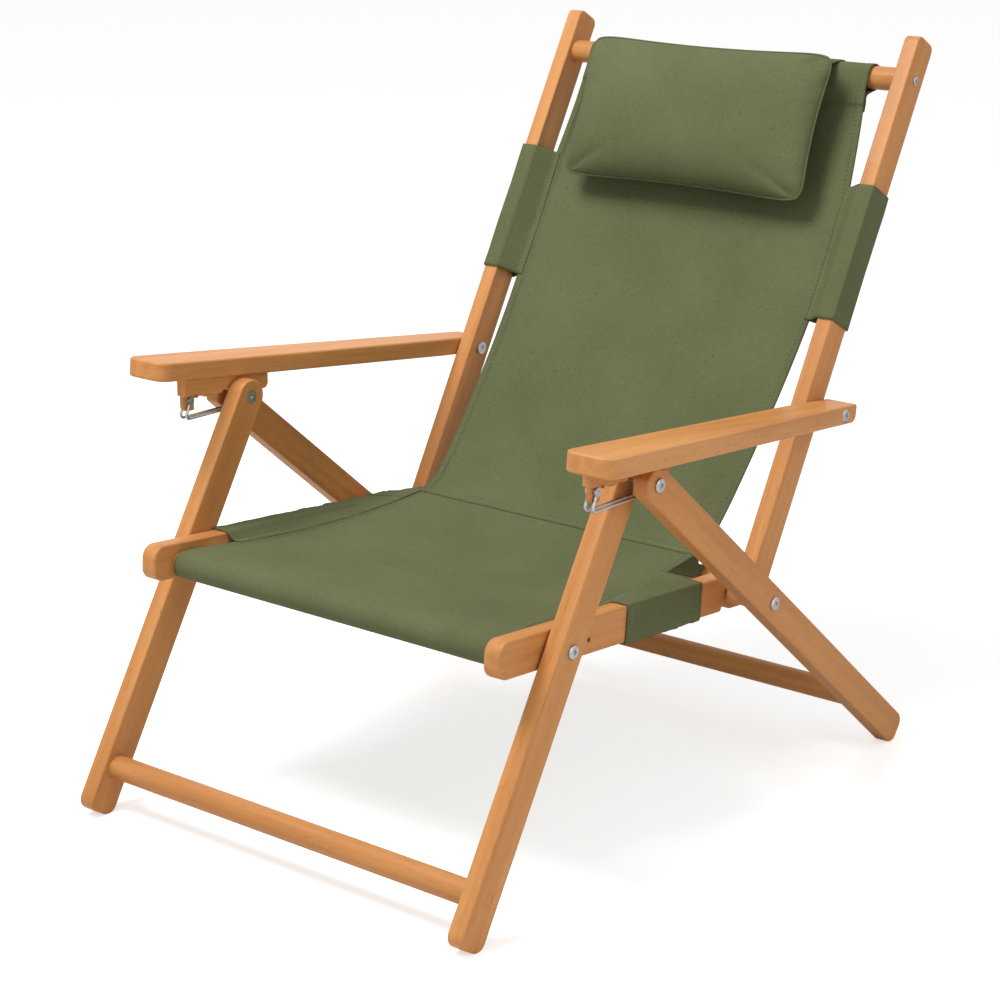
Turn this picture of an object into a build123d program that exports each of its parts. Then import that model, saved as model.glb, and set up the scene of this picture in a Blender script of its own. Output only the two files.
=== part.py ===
from build123d import *
from math import acos, cos, degrees, radians, sin
import os

# Folding camping chair, millimetres. +Z up, the sitter looks along -Y, X is across the chair.
# The origin is on the ground, midway across and midway along the standing chair.
# Side-view places are measured from a datum that lies datum_y in front of that origin.

datum_y = 29.9

# The five pivots of one side, seen from the side (distance back from the datum, height).
rail_bolt_y = -218.0
rail_bolt_z = 251.0
stop_pin_y = 75.0
stop_pin_z = 228.0
leg_pin_y = -132.0
leg_pin_z = 397.0
arm_bolt_y = 222.0
arm_bolt_z = 391.0
back_bolt_y = 130.0
back_bolt_z = 224.0

# Layers of one side, counted outwards from the middle of the chair.
rail_inner_x = 212.5
rail_thick = 19.0
leg_gap = 2.5
upright_proud = 0.5
layer_gap = 1.0
upright_thick = 18.0
front_leg_thick = 19.0
block_thick = 12.0
rear_leg_thick = 18.0

# Widths of the bars in the side view, and how they are rounded.
front_leg_width = 36.0
rear_leg_width = 34.5
upright_width = 34.0
rail_width = 36.5
foot_round = 12.0
foot_wear = 0.8
bar_soft = 2.0
nose_reach = 80.0
nose_round = 13.0
upright_top_reach = 606.0
upright_top_round = 8.0
lap_radius = 22.5
lap_gap = 0.4

# Round bars.
bar_radius = 12.5
crossbar_radius = 12.0
socket_depth = 5.0
front_stretcher_lift = 54.25
rear_stretcher_lift = 107.7
seat_bar_reach = 43.0
seat_bar_drop = 3.5
top_bar_inset = 46.0
crossbar_inset = 28.05

# Bolts, pins and screws.
shank_radius = 4.0
running = 0.05
head_radius = 7.0
head_height = 3.2
head_round = 1.8
nut_height = 3.0
nut_margin = 0.2
recess_room = 0.3
key_radius = 2.6
key_depth = 1.6
spacer_radius = 11.0
washer_radius = 10.0
washer_play = 0.1
screw_radius = 2.2
screw_length = 34.0
screw_head_radius = 4.8
screw_head_height = 2.0
screw_key_radius = 1.7
screw_key_depth = 1.0
plug_radius = 5.5
plug_depth = 5.0
brad_radius = 1.5
lanyard_hole_radius = 2.5
lanyard_hole_reach = 55.0
stop_pin_radius = 5.0
stop_sleeve_radius = 9.5
stop_sleeve_play = 3.0
stop_pin_inset = 2.0
notch_play = 0.3
notch_flare = 12.0

# Armrest, its notched block and the wire bail below it.
arm_thick = 19.5
arm_fall = 5.85
arm_front_reach = 465.0
arm_rear_reach = 25.0
arm_outer_front_x = 310.0
arm_outer_rear_x = 270.0
arm_inner_front_x = 254.0
arm_taper_reach = 42.0
arm_corner_round = 14.0
arm_heel_round = 8.0
arm_soft = 2.5
bolt_seat_depth = 1.2
block_nose = 76.0
block_lug = 61.0
block_heel = 45.0
block_heel_lug = 11.0
block_lug_drop = 6.0
block_heel_drop = 1.0
block_round = 6.0
channel_rise = 6.0
scallop_radius = 6.0
scallop_rise = 3.2
scallop_pitch = 18.0
scallop_count = 4
bail_pin_reach = 68.0
bail_pin_rise = 5.0
bail_pin_radius = 2.0
bail_wire = 1.5
bail_corner_forward = 7.5
bail_drop = 18.5
bail_length = 104.0
bail_inset = 1.75
bail_bend = 4.0
bail_eye_wall = 2.4
bail_eye_half = 1.6
bail_pin_margin = 0.2
cheek_play = 0.25
cheek_room = 1.1

# Cloth.
cloth = 1.4
cloth_play = 0.25
seat_front_room = 3.5
seat_rear_room = 27.5
back_wing_room = 18.5
back_top_room = 30.0
web_play = 0.2
trim_depth = 120.0
seam_gap = 0.5
wing_lift = 93.33
wing_length = 150.0
right_sleeve_start = 114.0
right_sleeve_drop = 52.9
left_sleeve_start = 21.0
left_sleeve_drop = 25.9

# Head pillow and the flap that hangs it over the top bar.
pillow_room = 56.0
pillow_bottom_forward = 101.16
pillow_bottom_drop = 126.4
pillow_top_forward = 41.16
pillow_top_rise = 26.6
pillow_front_bulge = 29.0
pillow_rear_bulge = 32.0
pillow_side_draw = 6.0
pillow_edge_draw = 4.5
flap_room = 16.0
flap_play = 0.4
flap_tail = 45.0
flap_seam_gap = 0.3
overrun = 2.0

# Shapes given as shares of the sizes that they follow.
# Seat sling: share of the rail bolt to back bolt distance, height share of the same distance.
seat_line_shares = ((-0.037, 0.0287), (0.107, 0.0227), (0.343, 0.0266), (0.543, 0.0393),
                    (0.708, 0.0593), (0.873, 0.0860))
# Back sling: share of the upright's length above the bolt, forward offset share of the same.
back_line_shares = ((0.0142, 0.0870), (0.0480, 0.0640), (0.1000, 0.0480), (0.1700, 0.0345),
                    (0.2600, 0.0200), (0.3500, 0.0080), (0.4540, -0.0010), (0.5700, -0.0035),
                    (0.7050, 0.0000), (0.8110, 0.0070), (0.9000, 0.0190))
# Head of the rear leg: its corners as shares of half the leg's width (back, up).
leg_head_shares = ((-0.985, 0.43), (-0.35, 0.98))
leg_head_foot_share = -0.46
leg_head_round_share = 0.3
# Pillow sections: share of the half width, of the height lost at each edge, of the bulge.
pillow_section_shares = ((0.0, 1.0, 1.0), (0.35, 0.88, 0.985), (0.62, 0.55, 0.90),
                         (0.82, 0.22, 0.66), (0.94, 0.05, 0.36), (1.0, 0.0, 0.07))


def side(y, z):
    """Side-view point in the part's own frame."""
    return Vector(y - datum_y, z)


def heading(start, end):
    """Unit direction between two side-view points."""
    return (end - start).normalized()


def station(start, along, distance, aside):
    """Point a distance along a direction and aside to its left."""
    return start + along * distance + Vector(-along.Y, along.X) * aside


def strip(points, thickness):
    """Closed outline of a thin strip about a line of side-view points."""
    upper = []
    lower = []
    for index, point in enumerate(points):
        before = points[max(index - 1, 0)]
        after = points[min(index + 1, len(points) - 1)]
        along = heading(before, after)
        upper.append(station(point, along, 0, thickness / 2))
        lower.append(station(point, along, 0, -thickness / 2))
    return upper + lower[::-1]


def on_line(line, start, along, distance):
    """Point of a side-view line where it passes a distance along a bar."""
    passed = [(point - start).dot(along) for point in line]
    after = next(index for index, here in enumerate(passed) if here > distance)
    share = (distance - passed[after - 1]) / (passed[after] - passed[after - 1])
    return line[after - 1] + (line[after] - line[after - 1]) * share


rail_bolt = side(rail_bolt_y, rail_bolt_z)
stop_pin = side(stop_pin_y, stop_pin_z)
leg_pin = side(leg_pin_y, leg_pin_z)
arm_bolt = side(arm_bolt_y, arm_bolt_z)
back_bolt = side(back_bolt_y, back_bolt_z)

front_down = heading(leg_pin, rail_bolt)
rear_down = heading(leg_pin, stop_pin)
back_up = heading(back_bolt, arm_bolt)
rail_back = heading(rail_bolt, back_bolt)
rail_length = (back_bolt - rail_bolt).length

rail_outer_x = rail_inner_x + rail_thick
upright_outer_x = rail_outer_x + upright_proud
upright_inner_x = upright_outer_x - upright_thick
lap_x = rail_inner_x + rail_thick / 2
front_leg_inner_x = rail_outer_x + leg_gap
front_leg_outer_x = front_leg_inner_x + front_leg_thick
block_inner_x = front_leg_outer_x + layer_gap
block_outer_x = block_inner_x + block_thick
rear_leg_inner_x = block_outer_x + layer_gap
rear_leg_outer_x = rear_leg_inner_x + rear_leg_thick

front_ground_reach = leg_pin.Y / abs(front_down.Y)
rear_ground_reach = leg_pin.Y / abs(rear_down.Y)
front_stretcher_at = station(leg_pin, front_down, front_ground_reach - front_stretcher_lift, 0)
rear_stretcher_at = station(leg_pin, rear_down, rear_ground_reach - rear_stretcher_lift, 0)
seat_bar_at = station(rail_bolt, rail_back, -seat_bar_reach, -seat_bar_drop)
top_bar_reach = upright_top_reach - top_bar_inset
top_bar_at = station(back_bolt, back_up, top_bar_reach, 0)
crossbar_at = station(back_bolt, rail_back, -crossbar_inset, 0)

seat_front_half = rail_inner_x - seat_front_room
seat_rear_half = rail_inner_x - seat_rear_room
back_wing_half = upright_inner_x - back_wing_room
back_top_half = upright_inner_x - back_top_room
pillow_half_width = upright_inner_x - pillow_room
flap_half_width = pillow_half_width - flap_room
wing_low = (arm_bolt - back_bolt).length + wing_lift
wing_high = wing_low + wing_length


def foot_reach(down, width):
    """How far a leg runs from its pin so that its rounded foot is worn flat on the ground."""
    steep = abs(down.Y)
    flat = abs(down.X)
    end_height = flat * width / 2 - foot_round * (steep + flat - 1) - foot_wear
    return (leg_pin.Y - end_height) / steep


def drill(inner_x, thick, radius, *centres):
    """Cut round holes through a bar from its inner face outwards."""
    with BuildPart() as tool:
        with BuildSketch(Plane.YZ.offset(inner_x)):
            with Locations(*centres):
                Circle(radius)
        extrude(amount=thick)
    return tool.part


def round_bar(centre, radius, half_length, *pilots):
    """Turned bar across the chair, its ends lightly broken and drilled for end screws."""
    with BuildPart() as piece:
        with BuildSketch(Plane.YZ):
            with Locations(centre):
                Circle(radius)
        extrude(amount=half_length, both=True)
        chamfer(piece.faces().filter_by(Axis.X).edges(), radius / 20)
        for pilot in pilots:
            add(pilot, mode=Mode.SUBTRACT)
            mirror(pilot, about=Plane.YZ, mode=Mode.SUBTRACT)
    return piece


def through_bolt(centre, nut_face_x, nut_seat_x, head_seat_x):
    """Bolt across one side: a round nut inside, a domed hexagon-key head outside."""
    with BuildPart() as piece:
        with BuildSketch(Plane.YZ.offset(nut_face_x)):
            with Locations(centre):
                Circle(shank_radius)
        extrude(amount=head_seat_x - nut_face_x)
        with BuildSketch(Plane.YZ.offset(nut_face_x)):
            with Locations(centre):
                Circle(head_radius)
        extrude(amount=nut_seat_x - nut_face_x)
        with BuildSketch(Plane.YZ.offset(head_seat_x)):
            with Locations(centre):
                Circle(head_radius)
        extrude(amount=head_height)
        crown = piece.faces().sort_by(Axis.X)[-1]
        fillet(crown.edges(), head_round)
        for face_x, inward in ((head_seat_x + head_height, -1), (nut_face_x, 1)):
            with BuildSketch(Plane.YZ.offset(face_x)):
                with Locations(centre):
                    RegularPolygon(key_radius, 6)
            extrude(amount=inward * key_depth, mode=Mode.SUBTRACT)
    return piece


def wood_screw(centre, head_seat_x, head_radius_here, head_height_here):
    """Short screw driven inwards from an outer face."""
    with BuildPart() as piece:
        with BuildSketch(Plane.YZ.offset(head_seat_x - screw_length)):
            with Locations(centre):
                Circle(screw_radius)
        extrude(amount=screw_length)
        with BuildSketch(Plane.YZ.offset(head_seat_x)):
            with Locations(centre):
                Circle(head_radius_here)
        extrude(amount=head_height_here)
        crown = piece.faces().sort_by(Axis.X)[-1]
        fillet(crown.edges(), head_height_here / 2)
        with BuildSketch(Plane.YZ.offset(head_seat_x + head_height_here)):
            with Locations(centre):
                RegularPolygon(screw_key_radius, 6)
        extrude(amount=-screw_key_depth, mode=Mode.SUBTRACT)
    return piece


def ring(centre, radius, inner_x, thick):
    """Flat washer or spacer round the shank of a bolt."""
    with BuildPart() as piece:
        with BuildSketch(Plane.YZ.offset(inner_x)):
            with Locations(centre):
                Circle(radius)
                Circle(shank_radius + running, mode=Mode.SUBTRACT)
        extrude(amount=thick)
    return piece


def cloth_tube(start, along, length, inner_x, thick, width):
    """Cloth sewn round a bar of oblong section."""
    base = Plane(origin=(inner_x + thick / 2, start.X, start.Y), x_dir=(1, 0, 0),
                 z_dir=(0, along.X, along.Y))
    inside = 2 * cloth_play
    outside = inside + 2 * cloth
    with BuildPart() as piece:
        with BuildSketch(base):
            RectangleRounded(thick + outside, width + outside, bar_soft + cloth)
            RectangleRounded(thick + inside, width + inside, bar_soft, mode=Mode.SUBTRACT)
        extrude(amount=length)
    return piece


# Front legs: round heads on the leg pins, rounded feet worn flat.
with BuildPart() as front_leg:
    with BuildSketch(Plane.YZ.offset(front_leg_inner_x)):
        with BuildLine():
            front_leg_end = foot_reach(front_down, front_leg_width)
            outline = FilletPolyline(
                station(leg_pin, front_down, 0, front_leg_width / 2),
                station(leg_pin, front_down, front_leg_end, front_leg_width / 2),
                station(leg_pin, front_down, front_leg_end, -front_leg_width / 2),
                station(leg_pin, front_down, 0, -front_leg_width / 2),
                radius=foot_round,
            )
            ThreePointArc(outline @ 1, station(leg_pin, front_down, -front_leg_width / 2, 0), outline @ 0)
        make_face()
    extrude(amount=front_leg_thick)
    fillet(front_leg.faces().filter_by(Axis.X).edges(), bar_soft)
    split(bisect_by=Plane.XY, keep=Keep.TOP)
    add(drill(front_leg_inner_x, front_leg_thick, shank_radius + running, leg_pin, rail_bolt),
        mode=Mode.SUBTRACT)
    add(drill(front_leg_inner_x, nut_height + 2 * nut_margin, head_radius + recess_room, leg_pin),
        mode=Mode.SUBTRACT)
    add(drill(front_leg_inner_x, socket_depth, bar_radius + running, front_stretcher_at),
        mode=Mode.SUBTRACT)
    add(drill(front_leg_inner_x, front_leg_thick, screw_radius + running, front_stretcher_at),
        mode=Mode.SUBTRACT)
    add(drill(front_leg_outer_x - plug_depth - screw_head_height - nut_margin,
              plug_depth + screw_head_height + nut_margin, plug_radius + running, front_stretcher_at),
        mode=Mode.SUBTRACT)

# Rear legs: blunt heads that clear the armrest, rounded feet worn flat.
with BuildPart() as rear_leg:
    half_rear = rear_leg_width / 2
    with BuildSketch(Plane.YZ.offset(rear_leg_inner_x)):
        with BuildLine():
            rear_leg_end = foot_reach(rear_down, rear_leg_width)
            head_corners = [leg_pin + Vector(back, up) * half_rear for back, up in leg_head_shares]
            head_round_here = half_rear * leg_head_round_share
            FilletPolyline(
                station(leg_pin, rear_down, half_rear * leg_head_foot_share, -half_rear),
                *head_corners,
                station(leg_pin, rear_down, 0, half_rear),
                station(leg_pin, rear_down, rear_leg_end, half_rear),
                station(leg_pin, rear_down, rear_leg_end, -half_rear),
                radius=[head_round_here] * (len(head_corners) + 2) + [foot_round] * 2,
                close=True,
            )
        make_face()
    extrude(amount=rear_leg_thick)
    fillet(rear_leg.faces().filter_by(Axis.X).edges(), bar_soft)
    split(bisect_by=Plane.XY, keep=Keep.TOP)
    add(drill(rear_leg_inner_x, rear_leg_thick, shank_radius + running, leg_pin), mode=Mode.SUBTRACT)
    add(drill(rear_leg_inner_x, rear_leg_thick, stop_pin_radius + running, stop_pin),
        mode=Mode.SUBTRACT)
    add(drill(rear_leg_inner_x, socket_depth, bar_radius + running, rear_stretcher_at),
        mode=Mode.SUBTRACT)

# Seat rails: rounded noses, half-lapped round rear ends, an open notch for the stop pin.
with BuildPart() as seat_rail:
    half_rail = rail_width / 2
    with BuildSketch(Plane.YZ.offset(rail_inner_x)):
        with BuildLine():
            outline = FilletPolyline(
                station(back_bolt, rail_back, 0, half_rail),
                station(rail_bolt, rail_back, -nose_reach, half_rail),
                station(rail_bolt, rail_back, -nose_reach, -half_rail),
                station(back_bolt, rail_back, 0, -half_rail),
                radius=nose_round,
            )
            ThreePointArc(outline @ 1, station(back_bolt, rail_back, half_rail, 0), outline @ 0)
        make_face()
    extrude(amount=rail_thick)
    fillet(seat_rail.faces().filter_by(Axis.X).edges(), bar_soft)
    notch_radius = stop_pin_radius + notch_play
    notch_depth = rail_width / 2 + stop_pin_radius
    with BuildSketch(Plane.YZ.offset(rail_inner_x)):
        with Locations(stop_pin):
            Circle(notch_radius)
        Polygon(
            station(stop_pin, rail_back, notch_radius, 0),
            station(stop_pin, rail_back, notch_radius, -notch_depth),
            station(stop_pin, rail_back, -notch_radius - notch_flare, -notch_depth),
            station(stop_pin, rail_back, -notch_radius, 0),
            align=None,
        )
    extrude(amount=rail_thick, mode=Mode.SUBTRACT)
    add(drill(rail_inner_x, rail_thick, shank_radius + running, rail_bolt, back_bolt),
        mode=Mode.SUBTRACT)
    add(drill(rail_inner_x, nut_height + 2 * nut_margin, head_radius + recess_room, rail_bolt, back_bolt),
        mode=Mode.SUBTRACT)
    add(drill(rail_inner_x, socket_depth, bar_radius + running, seat_bar_at), mode=Mode.SUBTRACT)
    add(drill(rail_inner_x, rail_thick, brad_radius + running, seat_bar_at), mode=Mode.SUBTRACT)
    add(drill(rail_inner_x, rail_thick, lanyard_hole_radius,
              station(rail_bolt, rail_back, lanyard_hole_reach, -rail_width / 10)),
        mode=Mode.SUBTRACT)
    add(drill(lap_x - lap_gap / 2, rail_thick, lap_radius, back_bolt), mode=Mode.SUBTRACT)

# Uprights: round lower ends half-lapped outside the rails, square tops with rounded corners.
with BuildPart() as upright:
    half_upright = upright_width / 2
    with BuildSketch(Plane.YZ.offset(upright_inner_x)):
        with BuildLine():
            outline = FilletPolyline(
                station(back_bolt, back_up, 0, half_upright),
                station(back_bolt, back_up, upright_top_reach, half_upright),
                station(back_bolt, back_up, upright_top_reach, -half_upright),
                station(back_bolt, back_up, 0, -half_upright),
                radius=upright_top_round,
            )
            ThreePointArc(outline @ 1, station(back_bolt, back_up, -half_upright, 0), outline @ 0)
        make_face()
    extrude(amount=upright_thick)
    fillet(upright.faces().filter_by(Axis.X).edges(), bar_soft)
    add(drill(upright_inner_x, upright_thick, shank_radius + running, back_bolt, arm_bolt),
        mode=Mode.SUBTRACT)
    add(drill(lap_x + lap_gap / 2 - upright_thick, upright_thick, lap_radius, back_bolt),
        mode=Mode.SUBTRACT)
    add(drill(upright_inner_x, socket_depth, bar_radius + running, top_bar_at), mode=Mode.SUBTRACT)
    add(drill(upright_inner_x, upright_thick, screw_radius + running, top_bar_at), mode=Mode.SUBTRACT)

# Round bars across the chair, three of them with pilot holes for their end fixings.
stretcher_screw_seat_x = front_leg_outer_x - plug_depth - screw_head_height
front_stretcher_pilot = drill(stretcher_screw_seat_x - screw_length, screw_length,
                              screw_radius + running, front_stretcher_at)
top_bar_pilot = drill(upright_outer_x - screw_length, screw_length, screw_radius + running, top_bar_at)
front_stretcher = round_bar(front_stretcher_at, bar_radius, front_leg_inner_x + socket_depth,
                            front_stretcher_pilot)
rear_stretcher = round_bar(rear_stretcher_at, bar_radius, rear_leg_inner_x + socket_depth)
brad_start_x = rail_outer_x - screw_length
seat_bar_pilot = drill(brad_start_x, screw_length, brad_radius + running, seat_bar_at)
seat_front_bar = round_bar(seat_bar_at, bar_radius, rail_inner_x + socket_depth, seat_bar_pilot)
top_bar = round_bar(top_bar_at, bar_radius, upright_inner_x + socket_depth, top_bar_pilot)
seat_crossbar = round_bar(crossbar_at, crossbar_radius, rail_inner_x)

# Armrest: broad at the front, tapering to the bolt at the rear.
arm_back = Vector(cos(radians(arm_fall)), -sin(radians(arm_fall)))
arm_plane = Plane(origin=(0, arm_bolt.X, arm_bolt.Y), x_dir=(1, 0, 0),
                  z_dir=(0, -arm_back.Y, arm_back.X))
arm_inner_rear_x = upright_outer_x + layer_gap
arm_bolt_seat_x = arm_outer_rear_x - bolt_seat_depth / 2
with BuildPart() as armrest:
    with BuildSketch(arm_plane) as arm_plan:
        Polygon(
            (arm_inner_front_x, -arm_front_reach),
            (arm_outer_front_x, -arm_front_reach),
            (arm_outer_rear_x, arm_rear_reach),
            (arm_inner_rear_x, arm_rear_reach),
            (arm_inner_rear_x, -arm_taper_reach),
            align=None,
        )
        fillet(arm_plan.vertices().group_by(Axis.Y)[0], arm_corner_round)
    extrude(amount=arm_thick / 2, both=True)
    heel = armrest.faces().sort_by(Axis.Y)[-1].edges().sort_by(Axis.Z)[0]
    fillet(heel, arm_heel_round)
    broad = armrest.faces().sort_by(SortBy.AREA)[-2:]
    fillet(broad.edges(), arm_soft)
    add(drill(arm_inner_rear_x - overrun, arm_outer_front_x - arm_inner_rear_x,
              shank_radius + running, arm_bolt), mode=Mode.SUBTRACT)
    add(drill(arm_bolt_seat_x, arm_outer_front_x - arm_outer_rear_x,
              head_radius + recess_room, arm_bolt), mode=Mode.SUBTRACT)

# Notched block under the armrest: the leg pin rides in its channel.
arm_under = station(arm_bolt, arm_back, 0, -arm_thick / 2)


def under_arm(y):
    """Point of the armrest's underside at a distance back from the leg pin."""
    reach = (leg_pin.X + y - arm_under.X) / arm_back.X
    return station(arm_under, arm_back, reach, 0)


with BuildPart() as notch_block:
    with BuildSketch(Plane.YZ.offset(block_inner_x)) as block_side:
        Polygon(
            under_arm(-block_nose),
            leg_pin + Vector(-block_nose, -block_lug_drop),
            leg_pin + Vector(-block_lug, -block_lug_drop),
            leg_pin + Vector(-block_lug, channel_rise),
            leg_pin + Vector(block_heel_lug, channel_rise),
            leg_pin + Vector(block_heel_lug, -block_heel_drop),
            leg_pin + Vector(block_heel, -block_heel_drop),
            under_arm(block_heel),
            align=None,
        )
        fillet(block_side.vertices().sort_by_distance(leg_pin + Vector(-block_nose, -block_lug_drop))[0],
               block_round)
        fillet(block_side.vertices().sort_by_distance(leg_pin + Vector(block_heel, -block_heel_drop))[0],
               block_round)
        scallops = [leg_pin + Vector(-scallop_pitch * count, scallop_rise) for count in range(scallop_count)]
        with Locations(*scallops):
            Circle(scallop_radius, mode=Mode.SUBTRACT)
    extrude(amount=block_thick)
    bail_pin_at = leg_pin + Vector(-bail_pin_reach, bail_pin_rise)
    near_wire_x = block_inner_x + bail_inset
    far_wire_x = block_outer_x - bail_inset
    eye_radius = bail_pin_radius + bail_eye_wall
    cheek_depth = bail_inset + bail_eye_half + cheek_play
    cheek_top = bail_pin_at.Y + eye_radius + cheek_room
    for cheek_x in (block_inner_x, block_outer_x - cheek_depth):
        with BuildSketch(Plane.YZ.offset(cheek_x)):
            Polygon(
                (leg_pin.X - block_nose - overrun, leg_pin.Y - block_lug_drop - overrun),
                (leg_pin.X - block_lug + overrun, leg_pin.Y - block_lug_drop - overrun),
                (leg_pin.X - block_lug + overrun, cheek_top),
                (leg_pin.X - block_nose - overrun, cheek_top),
                align=None,
            )
        extrude(amount=cheek_depth, mode=Mode.SUBTRACT)
    add(drill(block_inner_x, block_thick, bail_pin_radius + running, bail_pin_at), mode=Mode.SUBTRACT)

# Cross pin of the bail, within the block's thickness so that the legs pass beside it.
bail_pin_start_x = block_inner_x + bail_pin_margin
with BuildPart() as bail_pin:
    with BuildSketch(Plane.YZ.offset(bail_pin_start_x)):
        with Locations(bail_pin_at):
            Circle(bail_pin_radius)
    extrude(amount=block_thick - 2 * bail_pin_margin)
    chamfer(bail_pin.faces().filter_by(Axis.X).edges(), bail_pin_radius / 5)

# Wire bail: two eyes beside the thinned lug, then a narrow loop running back between the legs.
with BuildPart() as bail:
    run_z = bail_pin_at.Y - bail_drop
    corner_y = bail_pin_at.X - bail_corner_forward
    end_y = bail_pin_at.X + bail_length
    with BuildLine() as wire:
        FilletPolyline(
            (near_wire_x, bail_pin_at.X, bail_pin_at.Y),
            (near_wire_x, corner_y, run_z),
            (near_wire_x, end_y, run_z),
            (far_wire_x, end_y, run_z),
            (far_wire_x, corner_y, run_z),
            (far_wire_x, bail_pin_at.X, bail_pin_at.Y),
            radius=bail_bend,
        )
    with BuildSketch(Plane(origin=wire.line @ 0, z_dir=wire.line % 0)):
        Circle(bail_wire)
    sweep(path=wire.line)
    for eye_x in (near_wire_x, far_wire_x):
        with BuildSketch(Plane.YZ.offset(eye_x - bail_eye_half)):
            with Locations(bail_pin_at):
                Circle(eye_radius)
        extrude(amount=2 * bail_eye_half)
    add(drill(block_inner_x, block_thick, bail_pin_radius + running, bail_pin_at), mode=Mode.SUBTRACT)

# Bolts, spacers and washers of one side.
rail_hinge_bolt = through_bolt(rail_bolt, rail_inner_x + nut_margin,
                               rail_inner_x + nut_margin + nut_height, front_leg_outer_x)
leg_hinge_bolt = through_bolt(leg_pin, front_leg_inner_x + nut_margin,
                              front_leg_inner_x + nut_margin + nut_height, rear_leg_outer_x)
back_hinge_bolt = through_bolt(back_bolt, rail_inner_x + nut_margin,
                               rail_inner_x + nut_margin + nut_height, upright_outer_x + layer_gap)
arm_hinge_bolt = through_bolt(arm_bolt, upright_inner_x - head_height, upright_inner_x, arm_bolt_seat_x)
rail_spacer = ring(rail_bolt, spacer_radius, rail_outer_x + washer_play,
                   front_leg_inner_x - rail_outer_x - washer_play)
back_washer = ring(back_bolt, washer_radius, upright_outer_x + washer_play, layer_gap - 2 * washer_play)
arm_washer = ring(arm_bolt, arm_thick / 2, upright_outer_x + washer_play, layer_gap - 2 * washer_play)

# Stop pin: a steel pin through the rear leg, a wooden sleeve on it, its free end under the rail.
with BuildPart() as stop_pin_steel:
    pin_tip_x = rail_inner_x + stop_pin_inset
    with BuildSketch(Plane.YZ.offset(pin_tip_x)):
        with Locations(stop_pin):
            Circle(stop_pin_radius)
    extrude(amount=rear_leg_outer_x - pin_tip_x)
    with BuildSketch(Plane.YZ.offset(rear_leg_outer_x)):
        with Locations(stop_pin):
            Circle(head_radius)
    extrude(amount=head_height)
    fillet(stop_pin_steel.faces().sort_by(Axis.X)[-1].edges(), head_round)
    with BuildSketch(Plane.YZ.offset(rear_leg_outer_x + head_height)):
        with Locations(stop_pin):
            RegularPolygon(key_radius, 6)
    extrude(amount=-key_depth, mode=Mode.SUBTRACT)

with BuildPart() as stop_sleeve:
    sleeve_start_x = rail_outer_x + stop_sleeve_play
    with BuildSketch(Plane.YZ.offset(sleeve_start_x)):
        with Locations(stop_pin):
            Circle(stop_sleeve_radius)
            Circle(stop_pin_radius + running, mode=Mode.SUBTRACT)
    extrude(amount=rear_leg_inner_x - sleeve_start_x)

# Small fixings.
top_bar_screw = wood_screw(top_bar_at, upright_outer_x, screw_head_radius, screw_head_height)
stretcher_screw = wood_screw(front_stretcher_at, stretcher_screw_seat_x, screw_head_radius, screw_head_height)
with BuildPart() as stretcher_plug:
    with BuildSketch(Plane.YZ.offset(front_leg_outer_x - plug_depth + nut_margin)):
        with Locations(front_stretcher_at):
            Circle(plug_radius)
    extrude(amount=plug_depth - nut_margin)
    chamfer(stretcher_plug.faces().sort_by(Axis.X)[-1].edges(), plug_radius / 15)
with BuildPart() as nose_brad:
    with BuildSketch(Plane.YZ.offset(brad_start_x)):
        with Locations(seat_bar_at):
            Circle(brad_radius)
    extrude(amount=screw_length)

# Seat cloth: a taut panel whose front hem holds the front bar, narrower at the seam.
seat_line = [station(rail_bolt, rail_back, rail_length * back, rail_length * up)
             for back, up in seat_line_shares]
hem_inner = bar_radius + cloth_play
hem_outer = hem_inner + cloth
seat_start = station(seat_bar_at, rail_back, 0, hem_outer - cloth / 2)
with BuildPart() as seat_panel:
    with BuildSketch(Plane.YZ):
        Polygon(*strip([seat_start] + seat_line, cloth), align=None)
        with Locations(seat_bar_at):
            Circle(hem_outer)
            Circle(hem_inner, mode=Mode.SUBTRACT)
    extrude(amount=seat_front_half, both=True)
    seat_plane = Plane(origin=(0, rail_bolt.X, rail_bolt.Y), x_dir=(1, 0, 0),
                       z_dir=(0, -rail_back.Y, rail_back.X))
    seam_reach = (seat_line[-1] - rail_bolt).dot(rail_back)
    seat_edge = [(seat_front_half, -nose_reach), (seat_front_half, -seat_bar_reach),
                 (seat_rear_half, seam_reach), (seat_rear_half, rail_length)]
    with BuildSketch(seat_plane):
        Polygon(*seat_edge, *[(-half, reach) for half, reach in reversed(seat_edge)], align=None)
    extrude(amount=trim_depth, both=True, mode=Mode.INTERSECT)

# Back cloth: from the seam up to the hem round the top bar, slack enough to bow rearwards.
back_line = [station(back_bolt, back_up, upright_top_reach * up, upright_top_reach * forward)
             for up, forward in back_line_shares]
seam_start = station(seat_line[-1], heading(back_line[0], back_line[1]), seam_gap, 0)
back_end = station(top_bar_at, back_up, 0, hem_outer - cloth / 2)
with BuildPart() as back_panel:
    with BuildSketch(Plane.YZ):
        Polygon(*strip([seam_start] + back_line[1:] + [back_end], cloth), align=None)
        with Locations(top_bar_at):
            Circle(hem_outer)
            Circle(hem_inner, mode=Mode.SUBTRACT)
    extrude(amount=back_wing_half, both=True)
    back_plane = Plane(origin=(0, back_bolt.X, back_bolt.Y), x_dir=(1, 0, 0),
                       z_dir=(0, -back_up.Y, back_up.X))
    back_edge = [(seat_rear_half, -wing_low), (seat_rear_half, 0), (back_wing_half, wing_low),
                 (back_wing_half, wing_high), (back_top_half, top_bar_reach - hem_outer),
                 (back_top_half, upright_top_reach)]
    with BuildSketch(back_plane):
        Polygon(*back_edge, *[(-half, reach) for half, reach in reversed(back_edge)], align=None)
    extrude(amount=trim_depth, both=True, mode=Mode.INTERSECT)

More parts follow.
